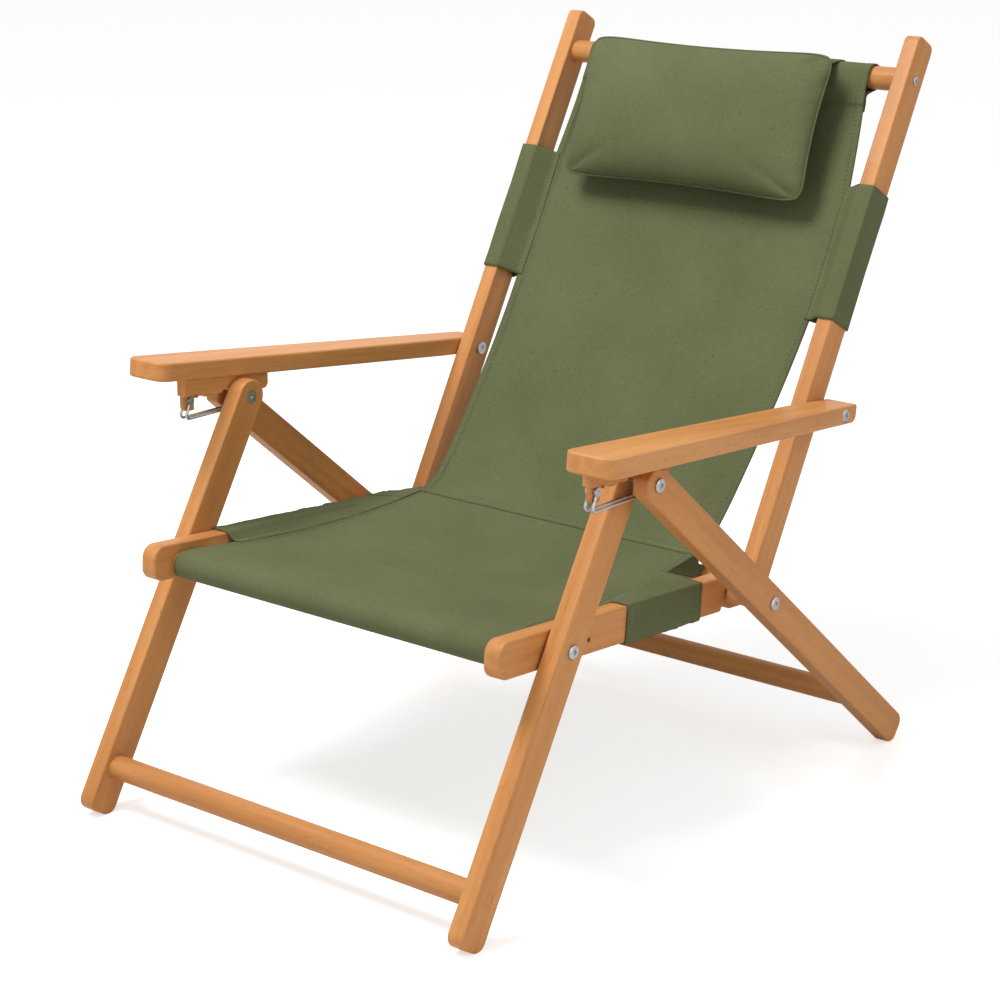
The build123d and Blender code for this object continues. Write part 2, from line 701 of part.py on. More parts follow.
# Under-seam flap: a hem round the rear crossbar, hanging from the end of the seat cloth.
flap_inner = crossbar_radius + cloth_play
flap_outer = flap_inner + cloth
flap_top = station(seat_line[-1], rail_back, -cloth, -cloth)
flap_foot = station(crossbar_at, rail_back, 0, flap_outer - cloth / 2)
with BuildPart() as seam_flap:
    with BuildSketch(Plane.YZ):
        Polygon(*strip([flap_foot, flap_top], cloth), align=None)
        with Locations(crossbar_at):
            Circle(flap_outer)
            Circle(flap_inner, mode=Mode.SUBTRACT)
    extrude(amount=seat_rear_half, both=True)

# Side wings of the back cloth: sewn round the uprights and to the panel's edge.
wing_start = station(back_bolt, back_up, wing_low, 0)
wing_tube = cloth_tube(wing_start, back_up, wing_high - wing_low, upright_inner_x, upright_thick,
                       upright_width)
wing_line = [point for point in back_line
             if wing_low < (point - back_bolt).dot(back_up) < wing_high]
wing_ends = [on_line(back_line, back_bolt, back_up, reach) for reach in (wing_low, wing_high)]
with BuildPart() as back_wing:
    add(wing_tube.part)
    with BuildSketch(Plane.YZ.offset(back_wing_half)):
        Polygon(*strip([wing_ends[0]] + wing_line + [wing_ends[1]], cloth), align=None)
    extrude(amount=upright_inner_x - cloth_play - cloth / 2 - back_wing_half)

# Side sleeves of the seat cloth, round the rails. The left one is longer.
sleeve_top = rail_width / 2 + cloth_play + cloth / 2
stop_reach = (stop_pin - rail_bolt).dot(rail_back)


def under_seat(reach):
    """Point just under the seat cloth at a reach along the rail, no higher than the sleeve."""
    above = on_line([seat_start] + seat_line, rail_bolt, rail_back, reach) - rail_bolt
    rise = above.dot(Vector(-rail_back.Y, rail_back.X)) - cloth - web_play
    return station(rail_bolt, rail_back, reach, min(rise, sleeve_top))


def seat_sleeve(start, drop):
    """Cloth sleeve round a rail, with a web that runs in under the seat panel's edge."""
    end = stop_reach - drop
    tube = cloth_tube(station(rail_bolt, rail_back, start, 0), rail_back, end - start,
                      rail_inner_x, rail_thick, rail_width)
    bends = [rail_length * back for back, _ in seat_line_shares if start < rail_length * back < end]
    web_line = [under_seat(reach) for reach in [start, *bends, end]]
    with BuildPart() as piece:
        add(tube.part)
        with BuildSketch(Plane.YZ.offset(seat_rear_half)):
            Polygon(*strip(web_line, cloth), align=None)
        extrude(amount=rail_inner_x - cloth_play - cloth / 2 - seat_rear_half)
    return piece


right_seat_sleeve = seat_sleeve(right_sleeve_start, right_sleeve_drop)
left_seat_sleeve = seat_sleeve(left_sleeve_start, left_sleeve_drop)

# Head pillow: full in the middle, thin at its seam, its sides drawn in.
pillow_bottom = top_bar_at + Vector(-pillow_bottom_forward, -pillow_bottom_drop)
pillow_top = top_bar_at + Vector(-pillow_top_forward, pillow_top_rise)
pillow_up = heading(pillow_bottom, pillow_top)
pillow_height = (pillow_top - pillow_bottom).length
with BuildPart() as pillow:
    sections = sorted({side_share * share for share, _, _ in pillow_section_shares for side_share in (-1, 1)})
    shape = {share: (lost, bulge) for share, lost, bulge in pillow_section_shares}
    for share in sections:
        lost, bulge = shape[abs(share)]
        low = station(pillow_bottom, pillow_up, lost * pillow_edge_draw, 0)
        high = station(pillow_top, pillow_up, -lost * pillow_edge_draw, 0)
        middle = (low + high) / 2
        with BuildSketch(Plane.YZ.offset(share * pillow_half_width)):
            with BuildLine():
                ThreePointArc(low, station(middle, pillow_up, 0, bulge * pillow_front_bulge), high)
                ThreePointArc(high, station(middle, pillow_up, 0, -bulge * pillow_rear_bulge), low)
            make_face()
    loft()
    draw_radius = (pillow_height**2 / 4 + pillow_side_draw**2) / (2 * pillow_side_draw)
    pillow_middle = (pillow_bottom + pillow_top) / 2
    for hand in (-1, 1):
        centre_x = hand * (pillow_half_width + draw_radius - pillow_side_draw)
        face_plane = Plane(origin=(centre_x, pillow_middle.X, pillow_middle.Y), x_dir=(1, 0, 0),
                           z_dir=(0, -pillow_up.Y, pillow_up.X))
        with BuildSketch(face_plane):
            Circle(draw_radius)
        extrude(amount=pillow_front_bulge + pillow_rear_bulge, both=True, mode=Mode.SUBTRACT)

# Flap of the pillow: over the top bar's hem and a short way down behind it.
flap_radius = hem_outer + flap_play + cloth / 2
flap_seam = station(pillow_top, pillow_up, flap_seam_gap, 0)
reach_back = flap_seam - top_bar_at
tangent_angle = reach_back.get_angle(Vector(1, 0)) - degrees(acos(flap_radius / reach_back.length))
with BuildPart() as pillow_flap:
    turns = [tangent_angle * share / 6 for share in range(6, -1, -1)]
    arc_line = [top_bar_at + Vector(flap_radius, 0).rotate(Axis.Z, turn) for turn in turns]
    tail_end = arc_line[-1] - Vector(0, flap_tail)
    with BuildSketch(Plane.YZ):
        Polygon(*strip([flap_seam] + arc_line + [tail_end], cloth), align=None)
    extrude(amount=flap_half_width, both=True)

centre_pieces = {
    "front_stretcher": front_stretcher,
    "rear_stretcher": rear_stretcher,
    "seat_front_bar": seat_front_bar,
    "seat_crossbar": seat_crossbar,
    "top_bar": top_bar,
    "seat_panel": seat_panel,
    "seam_flap": seam_flap,
    "back_panel": back_panel,
    "pillow": pillow,
    "pillow_flap": pillow_flap,
    "seat_sleeve_right": right_seat_sleeve,
}
paired_pieces = {
    "front_leg": front_leg,
    "rear_leg": rear_leg,
    "seat_rail": seat_rail,
    "upright": upright,
    "armrest": armrest,
    "notch_block": notch_block,
    "bail_pin": bail_pin,
    "bail": bail,
    "rail_hinge_bolt": rail_hinge_bolt,
    "leg_hinge_bolt": leg_hinge_bolt,
    "back_hinge_bolt": back_hinge_bolt,
    "arm_hinge_bolt": arm_hinge_bolt,
    "rail_spacer": rail_spacer,
    "back_washer": back_washer,
    "arm_washer": arm_washer,
    "stop_pin": stop_pin_steel,
    "stop_sleeve": stop_sleeve,
    "top_bar_screw": top_bar_screw,
    "stretcher_screw": stretcher_screw,
    "stretcher_plug": stretcher_plug,
    "nose_brad": nose_brad,
    "back_wing": back_wing,
}

os.makedirs("parts", exist_ok=True)
for name, piece in centre_pieces.items():
    piece.part.label = name
    export_step(piece.part, f"parts/{name}.step")
for name, piece in paired_pieces.items():
    piece.part.label = f"{name}_right"
    export_step(piece.part, f"parts/{name}_right.step")
    with BuildPart() as twin:
        mirror(piece.part, about=Plane.YZ)
    twin.part.label = f"{name}_left"
    export_step(twin.part, f"parts/{name}_left.step")
with BuildPart() as twin:
    mirror(left_seat_sleeve.part, about=Plane.YZ)
twin.part.label = "seat_sleeve_left"
export_step(twin.part, "parts/seat_sleeve_left.step")

standing = Compound(children=[piece.part for piece in [*centre_pieces.values(), *paired_pieces.values()]])
extent = standing.bounding_box()
print("front to back", round(extent.min.Y, 2), round(extent.max.Y, 2), "height", round(extent.max.Z, 2))
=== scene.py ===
import math

import bmesh
import bpy
from mathutils import Matrix, Vector, noise


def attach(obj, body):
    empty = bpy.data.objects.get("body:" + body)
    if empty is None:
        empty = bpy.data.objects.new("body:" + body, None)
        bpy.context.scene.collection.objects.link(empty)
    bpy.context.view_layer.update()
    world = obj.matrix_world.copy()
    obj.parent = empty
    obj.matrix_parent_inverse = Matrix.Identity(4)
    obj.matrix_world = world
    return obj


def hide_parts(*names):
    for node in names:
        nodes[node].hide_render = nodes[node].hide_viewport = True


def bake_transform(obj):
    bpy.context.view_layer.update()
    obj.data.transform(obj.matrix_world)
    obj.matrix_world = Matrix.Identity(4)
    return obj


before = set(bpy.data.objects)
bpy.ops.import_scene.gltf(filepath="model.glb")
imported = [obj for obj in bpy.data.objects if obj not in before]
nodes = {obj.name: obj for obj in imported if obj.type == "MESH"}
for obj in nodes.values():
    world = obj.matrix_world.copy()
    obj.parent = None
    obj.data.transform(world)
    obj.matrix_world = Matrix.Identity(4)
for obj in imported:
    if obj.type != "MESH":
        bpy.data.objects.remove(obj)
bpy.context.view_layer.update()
print("chair: frame loaded")

# Side view of the chair in metres: (front to back, height).
sideView = {
    "railBolt": Vector((-0.2479, 0.2510)),
    "backBolt": Vector((0.1001, 0.2240)),
    "armBolt": Vector((0.1921, 0.3910)),
    "legPin": Vector((-0.1619, 0.3970)),
    "stopPin": Vector((0.0451, 0.2280)),
    "armFall": math.radians(5.85),
}


def heading(start, end):
    return (end - start).normalized()


def leftOf(along):
    return Vector((-along.y, along.x))


def station(start, along, reach, aside):  # a reach along a bar and aside to its left
    return start + along * reach + leftOf(along) * aside


def inSpace(x, place):
    return Vector((x, place.x, place.y))


railBack = heading(sideView["railBolt"], sideView["backBolt"])
backUp = heading(sideView["backBolt"], sideView["armBolt"])
frontDown = heading(sideView["legPin"], sideView["railBolt"])
rearDown = heading(sideView["legPin"], sideView["stopPin"])

# Camera at the photograph's viewing angle.
cameraView = {
    "azimuth": 38.53,
    "elevation": 16.46,
    "roll": 0.41,
    "distance": 2.536,
    "target": Vector((-0.0082, -0.0278, 0.297)),
    "lens": 87.55,
    "sensor": 36.0,
}


def addObject(name, data):
    made = bpy.data.objects.new(name, data)
    bpy.context.scene.collection.objects.link(made)
    return made


def outward(turn, rise):  # from the chair towards a turn and a rise, both in radians
    flat = math.cos(rise)
    return Vector((math.sin(turn) * flat, -math.cos(turn) * flat, math.sin(rise)))


def makeCamera(view):
    turn, rise, roll = (math.radians(view[name]) for name in ("azimuth", "elevation", "roll"))
    back = outward(turn, rise)
    right = Vector((math.cos(turn), math.sin(turn), 0))
    up = back.cross(right)
    imageRight = right * math.cos(roll) + up * math.sin(roll)
    imageUp = up * math.cos(roll) - right * math.sin(roll)
    data = bpy.data.cameras.new("camera")
    data.lens = view["lens"]
    data.sensor_width = view["sensor"]
    camera = addObject("camera", data)
    turned = Matrix((imageRight, imageUp, back)).transposed().to_4x4()
    camera.matrix_world = Matrix.Translation(view["target"] + back * view["distance"]) @ turned
    bpy.context.scene.camera = camera


makeCamera(cameraView)
bpy.context.scene.view_settings.view_transform = "Standard"


class Wire:  # one output of a node, used in plain sums
    def __init__(self, board, socket):
        self.board = board
        self.socket = socket

    def join(self, operation, left, right):
        return self.board.node("ShaderNodeMath", {"operation": operation}, {0: left, 1: right})

    def __add__(self, other):
        return self.join("ADD", self, other)

    def __radd__(self, other):
        return self.join("ADD", other, self)

    def __sub__(self, other):
        return self.join("SUBTRACT", self, other)

    def __rsub__(self, other):
        return self.join("SUBTRACT", other, self)

    def __mul__(self, other):
        return self.join("MULTIPLY", self, other)

    def __rmul__(self, other):
        return self.join("MULTIPLY", other, self)


class Board:  # the node tree of a material or of the world
    def __init__(self, owner):
        self.owner = owner
        owner.use_nodes = True
        self.tree = owner.node_tree
        self.tree.nodes.clear()

    def node(self, kind, settings=None, values=None, out=0):
        made = self.tree.nodes.new(kind)
        for name, value in (settings or {}).items():
            if name == "stops":
                self.setStops(made.color_ramp, value)
            else:
                setattr(made, name, value)
        for name, value in (values or {}).items():
            if isinstance(value, Wire):
                self.tree.links.new(value.socket, made.inputs[name])
            else:
                made.inputs[name].default_value = value
        return Wire(self, made.outputs[out]) if len(made.outputs) else None

    def setStops(self, ramp, stops):
        while len(ramp.elements) > 1:
            ramp.elements.remove(ramp.elements[-1])
        for index, (place, colour) in enumerate(stops):
            stop = ramp.elements[0] if index == 0 else ramp.elements.new(place)
            stop.position = place
            stop.color = (*colour, 1)

    def coordinates(self, output):
        return self.node("ShaderNodeTexCoord", out=output)

    def mapped(self, vector, scale=(1, 1, 1), rotation=(0, 0, 0)):
        return self.node("ShaderNodeMapping", None,
                         {"Vector": vector, "Scale": scale, "Rotation": rotation})

    def grain(self, vector, scale, detail):
        return self.node("ShaderNodeTexNoise", None,
                         {"Vector": vector, "Scale": scale, "Detail": detail})

    def streaks(self, vector, scale, detail):  # noise with its own scale along each axis
        return self.grain(self.mapped(vector, scale), 1.0, detail)

    def between(self, value, low, high):  # 0 below low, 1 above high, smooth between
        return self.node("ShaderNodeMapRange", {"interpolation_type": "SMOOTHSTEP"},
                         {"Value": value, "From Min": low, "From Max": high})

    def wave(self, value):
        return self.node("ShaderNodeMath", {"operation": "SINE"}, {0: value})

    def ramp(self, value, stops):
        return self.node("ShaderNodeValToRGB", {"stops": stops}, {0: value})

    def tint(self, amount, first, second):  # multiply the first colour by the second
        return self.node("ShaderNodeMix", {"data_type": "RGBA", "blend_type": "MULTIPLY"},
                         {0: amount, 6: first, 7: second}, out=2)

    def finish(self, values, height=None, bump=None):  # bump is a strength and a depth
        if height is not None:
            strength, depth = bump
            values["Normal"] = self.node("ShaderNodeBump", None, {
                "Height": height, "Strength": strength, "Distance": depth})
        surface = self.node("ShaderNodeBsdfPrincipled", None, values)
        self.node("ShaderNodeOutputMaterial", None, {"Surface": surface})
        return self.owner


# Oiled beech: fine lines along the bar, short flecks, slow changes of tone.
woodLook = {
    "tones": ((0.30, (0.455, 0.176, 0.046)),
              (0.50, (0.575, 0.245, 0.074)),
              (0.72, (0.680, 0.318, 0.108))),
    "lineScale": (75.0, 3.2, 75.0),
    "lineShare": 0.6,
    "cloudScale": (14.0, 2.2, 14.0),
    "cloudShare": 0.4,
    "fleckScale": (620.0, 75.0, 620.0),
    "fleckRange": (0.60, 0.70),
    "fleckColour": (0.70, 0.55, 0.42, 1.0),
    "fleckAmount": 0.35,
    "fleckDepth": 0.5,
    "roughness": 0.40,
    "lineRoughness": 0.12,
    "specular": 0.26,
    "coat": 0.05,
    "bump": (0.14, 0.0005),
}


def makeWood(name, rotation, warmth):
    look = woodLook
    board = Board(bpy.data.materials.new(name))
    straight = board.mapped(board.coordinates("Object"), rotation=rotation)
    lines = board.streaks(straight, look["lineScale"], 4.0)
    clouds = board.streaks(straight, look["cloudScale"], 2.0)
    flecks = board.between(board.streaks(straight, look["fleckScale"], 1.0), *look["fleckRange"])
    mixed = lines * look["lineShare"] + clouds * look["cloudShare"] + warmth
    colour = board.tint(flecks * look["fleckAmount"], board.ramp(mixed, look["tones"]),
                        look["fleckColour"])
    return board.finish({"Base Color": colour,
                         "Roughness": lines * look["lineRoughness"] + look["roughness"],
                         "Coat Weight": look["coat"],
                         "Specular IOR Level": look["specular"]},
                        lines - flecks * look["fleckDepth"], look["bump"])


def sideTurn(along):  # turns a bar's own direction onto the grain's direction
    return (-math.atan2(along.y, along.x), 0, 0)


armBack = Vector((math.cos(sideView["armFall"]), -math.sin(sideView["armFall"])))
woods = {
    "frontLeg": makeWood("frontLegWood", sideTurn(frontDown), 0.02),
    "rearLeg": makeWood("rearLegWood", sideTurn(rearDown), -0.02),
    "rail": makeWood("railWood", sideTurn(railBack), 0.0),
    "upright": makeWood("uprightWood", sideTurn(backUp), 0.03),
    "arm": makeWood("armWood", sideTurn(armBack), 0.05),
    "cross": makeWood("crossWood", (0, 0, math.pi / 2), -0.01),
}

# Brushed steel of the bolts, pins and wire.
steelLook = {
    "tones": ((0.3, (0.36, 0.36, 0.37)), (0.6, (0.62, 0.62, 0.63))),
    "markScale": (900.0, 1500.0, 300.0),
    "roughness": 0.20,
    "markRoughness": 0.20,
    "bump": (0.08, 0.0003),
}


def makeSteel(look):
    board = Board(bpy.data.materials.new("brushedSteel"))
    marks = board.streaks(board.coordinates("Object"), look["markScale"], 2.0)
    return board.finish({"Base Color": board.ramp(marks, look["tones"]),
                         "Metallic": 1.0,
                         "Roughness": marks * look["markRoughness"] + look["roughness"]},
                        marks, look["bump"])


steel = makeSteel(steelLook)

# Canvas: plain weave, small darker slubs and dots, slow fading.
canvasLook = {
    "tones": ((0.28, (0.080, 0.092, 0.039)),
              (0.50, (0.119, 0.133, 0.060)),
              (0.74, (0.158, 0.175, 0.084))),
    "toneShares": {"clouds": 0.35, "yarns": 0.5, "weave": 0.15},
    "cloudScale": 9.0,
    "yarnPitch": 0.0011,
    "yarnScales": ((90.0, 1300.0, 90.0), (1300.0, 90.0, 1300.0)),
    "slubScale": (150.0, 650.0, 400.0),
    "slubRange": (0.66, 0.74),
    "slubAmount": 0.6,
    "slubColour": (0.45, 0.47, 0.42, 1.0),
    "dotScale": 420.0,
    "dotRange": (0.70, 0.76),
    "dotAmount": 0.9,
    "roughness": 0.80,
    "yarnRoughness": 0.1,
    "specular": 0.18,
    "heightShares": {"yarns": 0.6, "weave": 0.5, "slubs": 0.5},
    "bump": (0.30, 0.0003),
}


def makeCanvas(name, look):
    board = Board(bpy.data.materials.new(name))
    flat = board.coordinates("UV")
    across, along = (board.node("ShaderNodeSeparateXYZ", None, {0: flat}, out=axis)
                     for axis in ("X", "Y"))
    turns = 2 * math.pi / look["yarnPitch"]
    weave = board.wave(across * turns) * board.wave(along * turns) * 0.5 + 0.5
    clouds = board.grain(flat, look["cloudScale"], 3.0)
    weft, warp = (board.streaks(flat, scale, 2.0) for scale in look["yarnScales"])
    yarns = weft * 0.5 + warp * 0.5
    slubs = board.between(board.streaks(flat, look["slubScale"], 1.0), *look["slubRange"])
    dots = board.between(board.grain(flat, look["dotScale"], 1.0), *look["dotRange"])
    tones, heights = look["toneShares"], look["heightShares"]
    tone = board.ramp(clouds * tones["clouds"] + yarns * tones["yarns"] + weave * tones["weave"],
                      look["tones"])
    colour = board.tint(slubs * look["slubAmount"] + dots * look["dotAmount"], tone,
                        look["slubColour"])
    height = weave * heights["weave"] + yarns * heights["yarns"] + slubs * heights["slubs"]
    return board.finish({"Base Color": colour,
                         "Roughness": yarns * look["yarnRoughness"] + look["roughness"],
                         "Specular IOR Level": look["specular"]}, height, look["bump"])


canvas = makeCanvas("oliveCanvas", canvasLook)
pillowCanvas = makeCanvas("pillowCanvas", canvasLook)

# Thread of the stitches, a little lighter than the canvas.
threadLook = {
    "tones": ((0.3, (0.155, 0.170, 0.092)), (0.7, (0.255, 0.275, 0.165))),
    "twistScale": (900.0, 900.0, 900.0),
    "roughness": 0.7,
    "specular": 0.2,
    "bump": (0.1, 0.0002),
}


def makeThread(look):
    board = Board(bpy.data.materials.new("oliveThread"))
    twist = board.streaks(board.coordinates("Object"), look["twistScale"], 1.0)
    return board.finish({"Base Color": board.ramp(twist, look["tones"]),
                         "Roughness": look["roughness"],
                         "Specular IOR Level": look["specular"]}, twist, look["bump"])


thread = makeThread(threadLook)

nodeFinish = {
    "front_leg": woods["frontLeg"],
    "rear_leg": woods["rearLeg"],
    "seat_rail": woods["rail"],
    "upright": woods["upright"],
    "armrest": woods["arm"],
    "notch_block": woods["arm"],
    "front_stretcher": woods["cross"],
    "rear_stretcher": woods["cross"],
    "seat_front_bar": woods["cross"],
    "seat_crossbar": woods["cross"],
    "top_bar": woods["cross"],
    "rail_spacer": woods["cross"],
    "stop_sleeve": woods["cross"],
    "stretcher_plug": woods["frontLeg"],
}
for name, node in nodes.items():
    family = name.removesuffix("_left").removesuffix("_right")
    finish = nodeFinish.get(family, steel)
    if not node.material_slots:
        node.data.materials.append(finish)
    for slot in node.material_slots:
        slot.material = finish
print("chair: wood and steel finished")


def spread(low, high, count):
    return [low + (high - low) * part / count for part in range(count + 1)]


def arc(reach, lift, radius, turns):  # points round a bar, its turns in whole degrees
    return [Vector((reach + radius * math.cos(math.radians(turn)),
                    lift + radius * math.sin(math.radians(turn)))) for turn in range(*turns)]


def smoothLine(points, step):  # even points on a smooth line through the given ones
    points = [Vector(point) for point in points]
    line = []
    last = len(points) - 1
    for index in range(last):
        start, end = points[index], points[index + 1]
        before, after = points[max(index - 1, 0)], points[min(index + 2, last)]
        count = max(2, int((end - start).length / step * 3))
        for part in range(count):
            t = part / count
            line.append(0.5 * (2 * start + (end - before) * t
                               + (2 * before - 5 * start + 4 * end - after) * t * t
                               + (3 * start - before - 3 * end + after) * t ** 3))
    line.append(points[-1])
    lengths = [0.0]
    for first, second in zip(line, line[1:]):
        lengths.append(lengths[-1] + (second - first).length)
    count = max(2, round(lengths[-1] / step))
    even, cursor = [], 0
    for part in range(count + 1):
        want = lengths[-1] * part / count
        while cursor < len(line) - 2 and lengths[cursor + 1] < want:
            cursor += 1
        span = max(lengths[cursor + 1] - lengths[cursor], 1e-9)
        even.append(line[cursor].lerp(line[cursor + 1], min(1.0, (want - lengths[cursor]) / span)))
    return even


def gridPiece(name, rows, finish, thickness):  # cloth from rows of points, with its own flat map
    data = bpy.data.meshes.new(name)
    piece = addObject(name, data)
    wide = len(rows[0])
    faces = [(r * wide + c, r * wide + c + 1, (r + 1) * wide + c + 1, (r + 1) * wide + c)
             for r in range(len(rows) - 1) for c in range(wide - 1)]
    data.from_pydata([place for row in rows for place in row], [], faces)
    middle = wide // 2
    travel = [0.0]
    for first, second in zip(rows, rows[1:]):
        travel.append(travel[-1] + (second[middle] - first[middle]).length)
    reach = []
    for row in rows:
        passed = [0.0]
        for first, second in zip(row, row[1:]):
            passed.append(passed[-1] + (second - first).length)
        reach.append([value - passed[-1] / 2 for value in passed])
    layer = data.uv_layers.new(name="flatMap")
    for loop in data.loops:
        row, column = divmod(loop.vertex_index, wide)
        layer.data[loop.index].uv = (reach[row][column], travel[row])
    data.materials.append(finish)
    wall = piece.modifiers.new("wall", "SOLIDIFY")
    wall.thickness = thickness
    wall.offset = 0
    settle(piece)
    faceOutwards(piece)
    area = sum(face.area for face in piece.data.polygons) / 2
    flat = (max(row[-1] - row[0] for row in reach), travel[-1])
    return piece, flat, area


def settle(piece):  # turn modifiers into a plain mesh
    bpy.context.view_layer.update()
    graph = bpy.context.evaluated_depsgraph_get()
    made = bpy.data.meshes.new_from_object(piece.evaluated_get(graph),
                                           preserve_all_data_layers=True, depsgraph=graph)
    piece.modifiers.clear()
    piece.data = made


def faceOutwards(piece):
    work = bmesh.new()
    work.from_mesh(piece.data)
    bmesh.ops.recalc_face_normals(work, faces=work.faces)
    for face in work.faces:
        face.smooth = True
    work.to_mesh(piece.data)
    work.free()


def stepTo(value, steps):  # value from a short table of (place, value), straight between
    for (low, first), (high, second) in zip(steps, steps[1:]):
        if value <= high:
            return first + (second - first) * max(0.0, (value - low) / (high - low))
    return steps[-1][1]


def bumpUp(value, low=0.0, high=1.0):  # 0 at both ends, 1 in the middle
    return math.sin(math.pi * min(1.0, max(0.0, (value - low) / (high - low))))


class Panel:  # cloth along a bar: reach is measured along it, lift square to it
    def __init__(self, look, start, along):
        self.look = look
        self.start = start
        self.along = along

    def place(self, x, reach, lift):
        return inSpace(x, station(self.start, self.along, reach, lift))

    def lift(self, reach):
        return stepTo(reach, self.look["line"])

    def half(self, reach):
        return stepTo(reach, self.look["halves"])

    def drop(self, u, reach, x):  # how far the cloth hangs below its straight line
        across, along, seed = self.look["rippleNoise"]
        wave = noise.noise(Vector((x * across, reach * along, seed))) * self.look["ripple"]
        return bumpUp(reach, *self.look["slack"]) * ((1 - u * u) * self.look["sag"] + wave)


# Hem along a panel's sides: the columns of its step as shares of the half width, and its rise.
sideHem = {"shares": (1.0, 0.978, 0.9555, 0.9515), "inner": 0.953, "raise": 0.0009}
panelShares = [-share for share in sideHem["shares"]] + [part / 32 for part in range(-30, 31)]
panelShares += reversed(sideHem["shares"])

# Seat cloth: hem round the front bar, then back to the seam.
seatCloth = {
    "bar": (-0.0430, -0.0035),
    "hemRadius": 0.01345,
    "hemTurns": (0, -271, -22),  # from behind the bar, below it and up in front
    "hemReturn": ((-0.0040, 0.0082), (-0.0150, 0.0070), (-0.0240, 0.0035)),
    "line": ((-0.0129, 0.0100), (0.0373, 0.0079), (0.1197, 0.0093), (0.1895, 0.0137),
             (0.2471, 0.0207), (0.3047, 0.0300)),
    "halves": ((-0.0430, 0.2090), (0.3047, 0.1850)),
    "step": 0.0035,
    "thickness": 0.0014,
    "sag": 0.0040,
    "slack": (-0.020, 0.300),
    "ripple": 0.0007,
    "rippleNoise": (14, 6, 3.1),  # scale across, scale along, seed
    "edgeDraw": 0.0075,
    "edgePower": 6,
    "edgeSpan": (-0.024, 0.112),
    "blendStart": 0.262,
    "blendEnd": 0.2945,
}
seat = Panel(seatCloth, sideView["railBolt"], railBack)
barReach, barLift = seatCloth["bar"]
seatSide = smoothLine([*seatCloth["hemReturn"],
                       *arc(barReach, barLift, seatCloth["hemRadius"], seatCloth["hemTurns"]),
                       *seatCloth["line"]], seatCloth["step"])


def sidePull(u, reach):  # the free edge is drawn in between the front hem and the right sleeve
    drawn = max(0.0, u) ** seatCloth["edgePower"] * bumpUp(reach, *seatCloth["edgeSpan"])
    return seatCloth["edgeDraw"] * drawn


seatRows = []
for spot in seatSide:
    half = seat.half(spot.x)
    onTop = spot.y > barLift
    row = []
    for u in panelShares:
        hang = seat.drop(u, spot.x, u * half) if onTop else 0.0
        if onTop and spot.x > 0 and abs(u) > sideHem["inner"]:
            hang -= sideHem["raise"]
        row.append(seat.place(u * half - sidePull(u, spot.x), spot.x, spot.y - hang))
    seatRows.append(row)
seatPiece, seatFlat, seatArea = gridPiece("seatCloth", seatRows, canvas, seatCloth["thickness"])
print("chair: seat cloth made")

# Back cloth: from the seam up, over the top bar and stitched behind it.
backCloth = {
    "leave": (0.0112, 0.0518),  # where it leaves the seat cloth
    "line": ((0.0086, 0.0527), (0.0291, 0.0388), (0.0606, 0.0291), (0.1030, 0.0209),
             (0.1576, 0.0121), (0.2121, 0.0048), (0.2751, -0.0006), (0.3454, -0.0021),
             (0.4272, 0.0), (0.4915, 0.0042), (0.5454, 0.0115)),
    "bar": 0.560,
    "hemRadius": 0.01345,
    "hemTurns": (90, -131, -22),  # from the bar's front, over it and down behind
    "hemReturn": ((0.5370, 0.0070), (0.5280, 0.0062), (0.5180, 0.0056)),
    "hemLine": 0.5235,
    "hemEdge": 0.0002,
    "halves": ((0.0, 0.1850), (0.284, 0.1955), (0.434, 0.1955), (0.546, 0.1840), (0.70, 0.1840)),
    "step": 0.0036,
    "thickness": 0.0014,
    "sag": 0.0045,
    "slack": (0.0, 0.530),
    "ripple": 0.0008,
    "rippleNoise": (11, 5, 8.7),
    "wingLow": 0.284,
    "wingHigh": 0.434,
    "blendEnd": 0.110,
}
back = Panel(backCloth, sideView["backBolt"], backUp)
# Its lower edge is folded under and sewn on the seat cloth: reach and layer along the seat.
lap = {
    "low": 0.2950,
    "high": 0.3035,
    "layer": 0.0021,
    "side": ((0.2950, 0.0002), (0.2953, 0.0018), (0.2972, 0.0022), (0.2992, 0.0034),
             (0.3019, 0.0021)),
    "step": 0.0011,
}


def lapSpot(reach, layer):  # a point on the seat cloth, as reach and lift of the back
    spot = station(seat.start, seat.along, reach, seat.lift(reach) + layer) - back.start
    return Vector((spot.dot(back.along), spot.dot(leftOf(back.along))))


def hemmed(reach, lift):  # the hem over the top bar is two layers down to its stitched line
    return lift + (sideHem["raise"] if reach > backCloth["hemLine"] else 0.0)


lapSide = [lapSpot(reach, layer) for reach, layer in lap["side"]]
topArc = arc(backCloth["bar"], 0.0, backCloth["hemRadius"], backCloth["hemTurns"])
backSide = smoothLine(lapSide, lap["step"])[:-1]
backSide += smoothLine([lapSide[-1], backCloth["leave"], *backCloth["line"][1:], *topArc,
                        *backCloth["hemReturn"]], backCloth["step"])
topIndex = max(range(len(backSide)), key=lambda index: backSide[index].x)
hemIndex = min(range(topIndex), key=lambda index: abs(backSide[index].x - backCloth["hemLine"]))
hemSpot = backSide[hemIndex]
backSide[hemIndex:hemIndex + 1] = [Vector((backCloth["hemLine"] + edge, hemSpot.y))
                                   for edge in (-backCloth["hemEdge"], backCloth["hemEdge"])]
backRows = []
for index, spot in enumerate(backSide):
    half = back.half(spot.x)
    inFront = index <= topIndex
    row = []
    for u in panelShares:
        lift = spot.y
        if inFront:
            lift = hemmed(spot.x, lift) - back.drop(u, spot.x, u * half)
            if abs(u) > sideHem["inner"]:
                lift += sideHem["raise"]
        row.append(back.place(u * half, spot.x, lift))
    backRows.append(row)
backPiece, backFlat, backArea = gridPiece("backCloth", backRows, canvas, backCloth["thickness"])
print("chair: back cloth made")

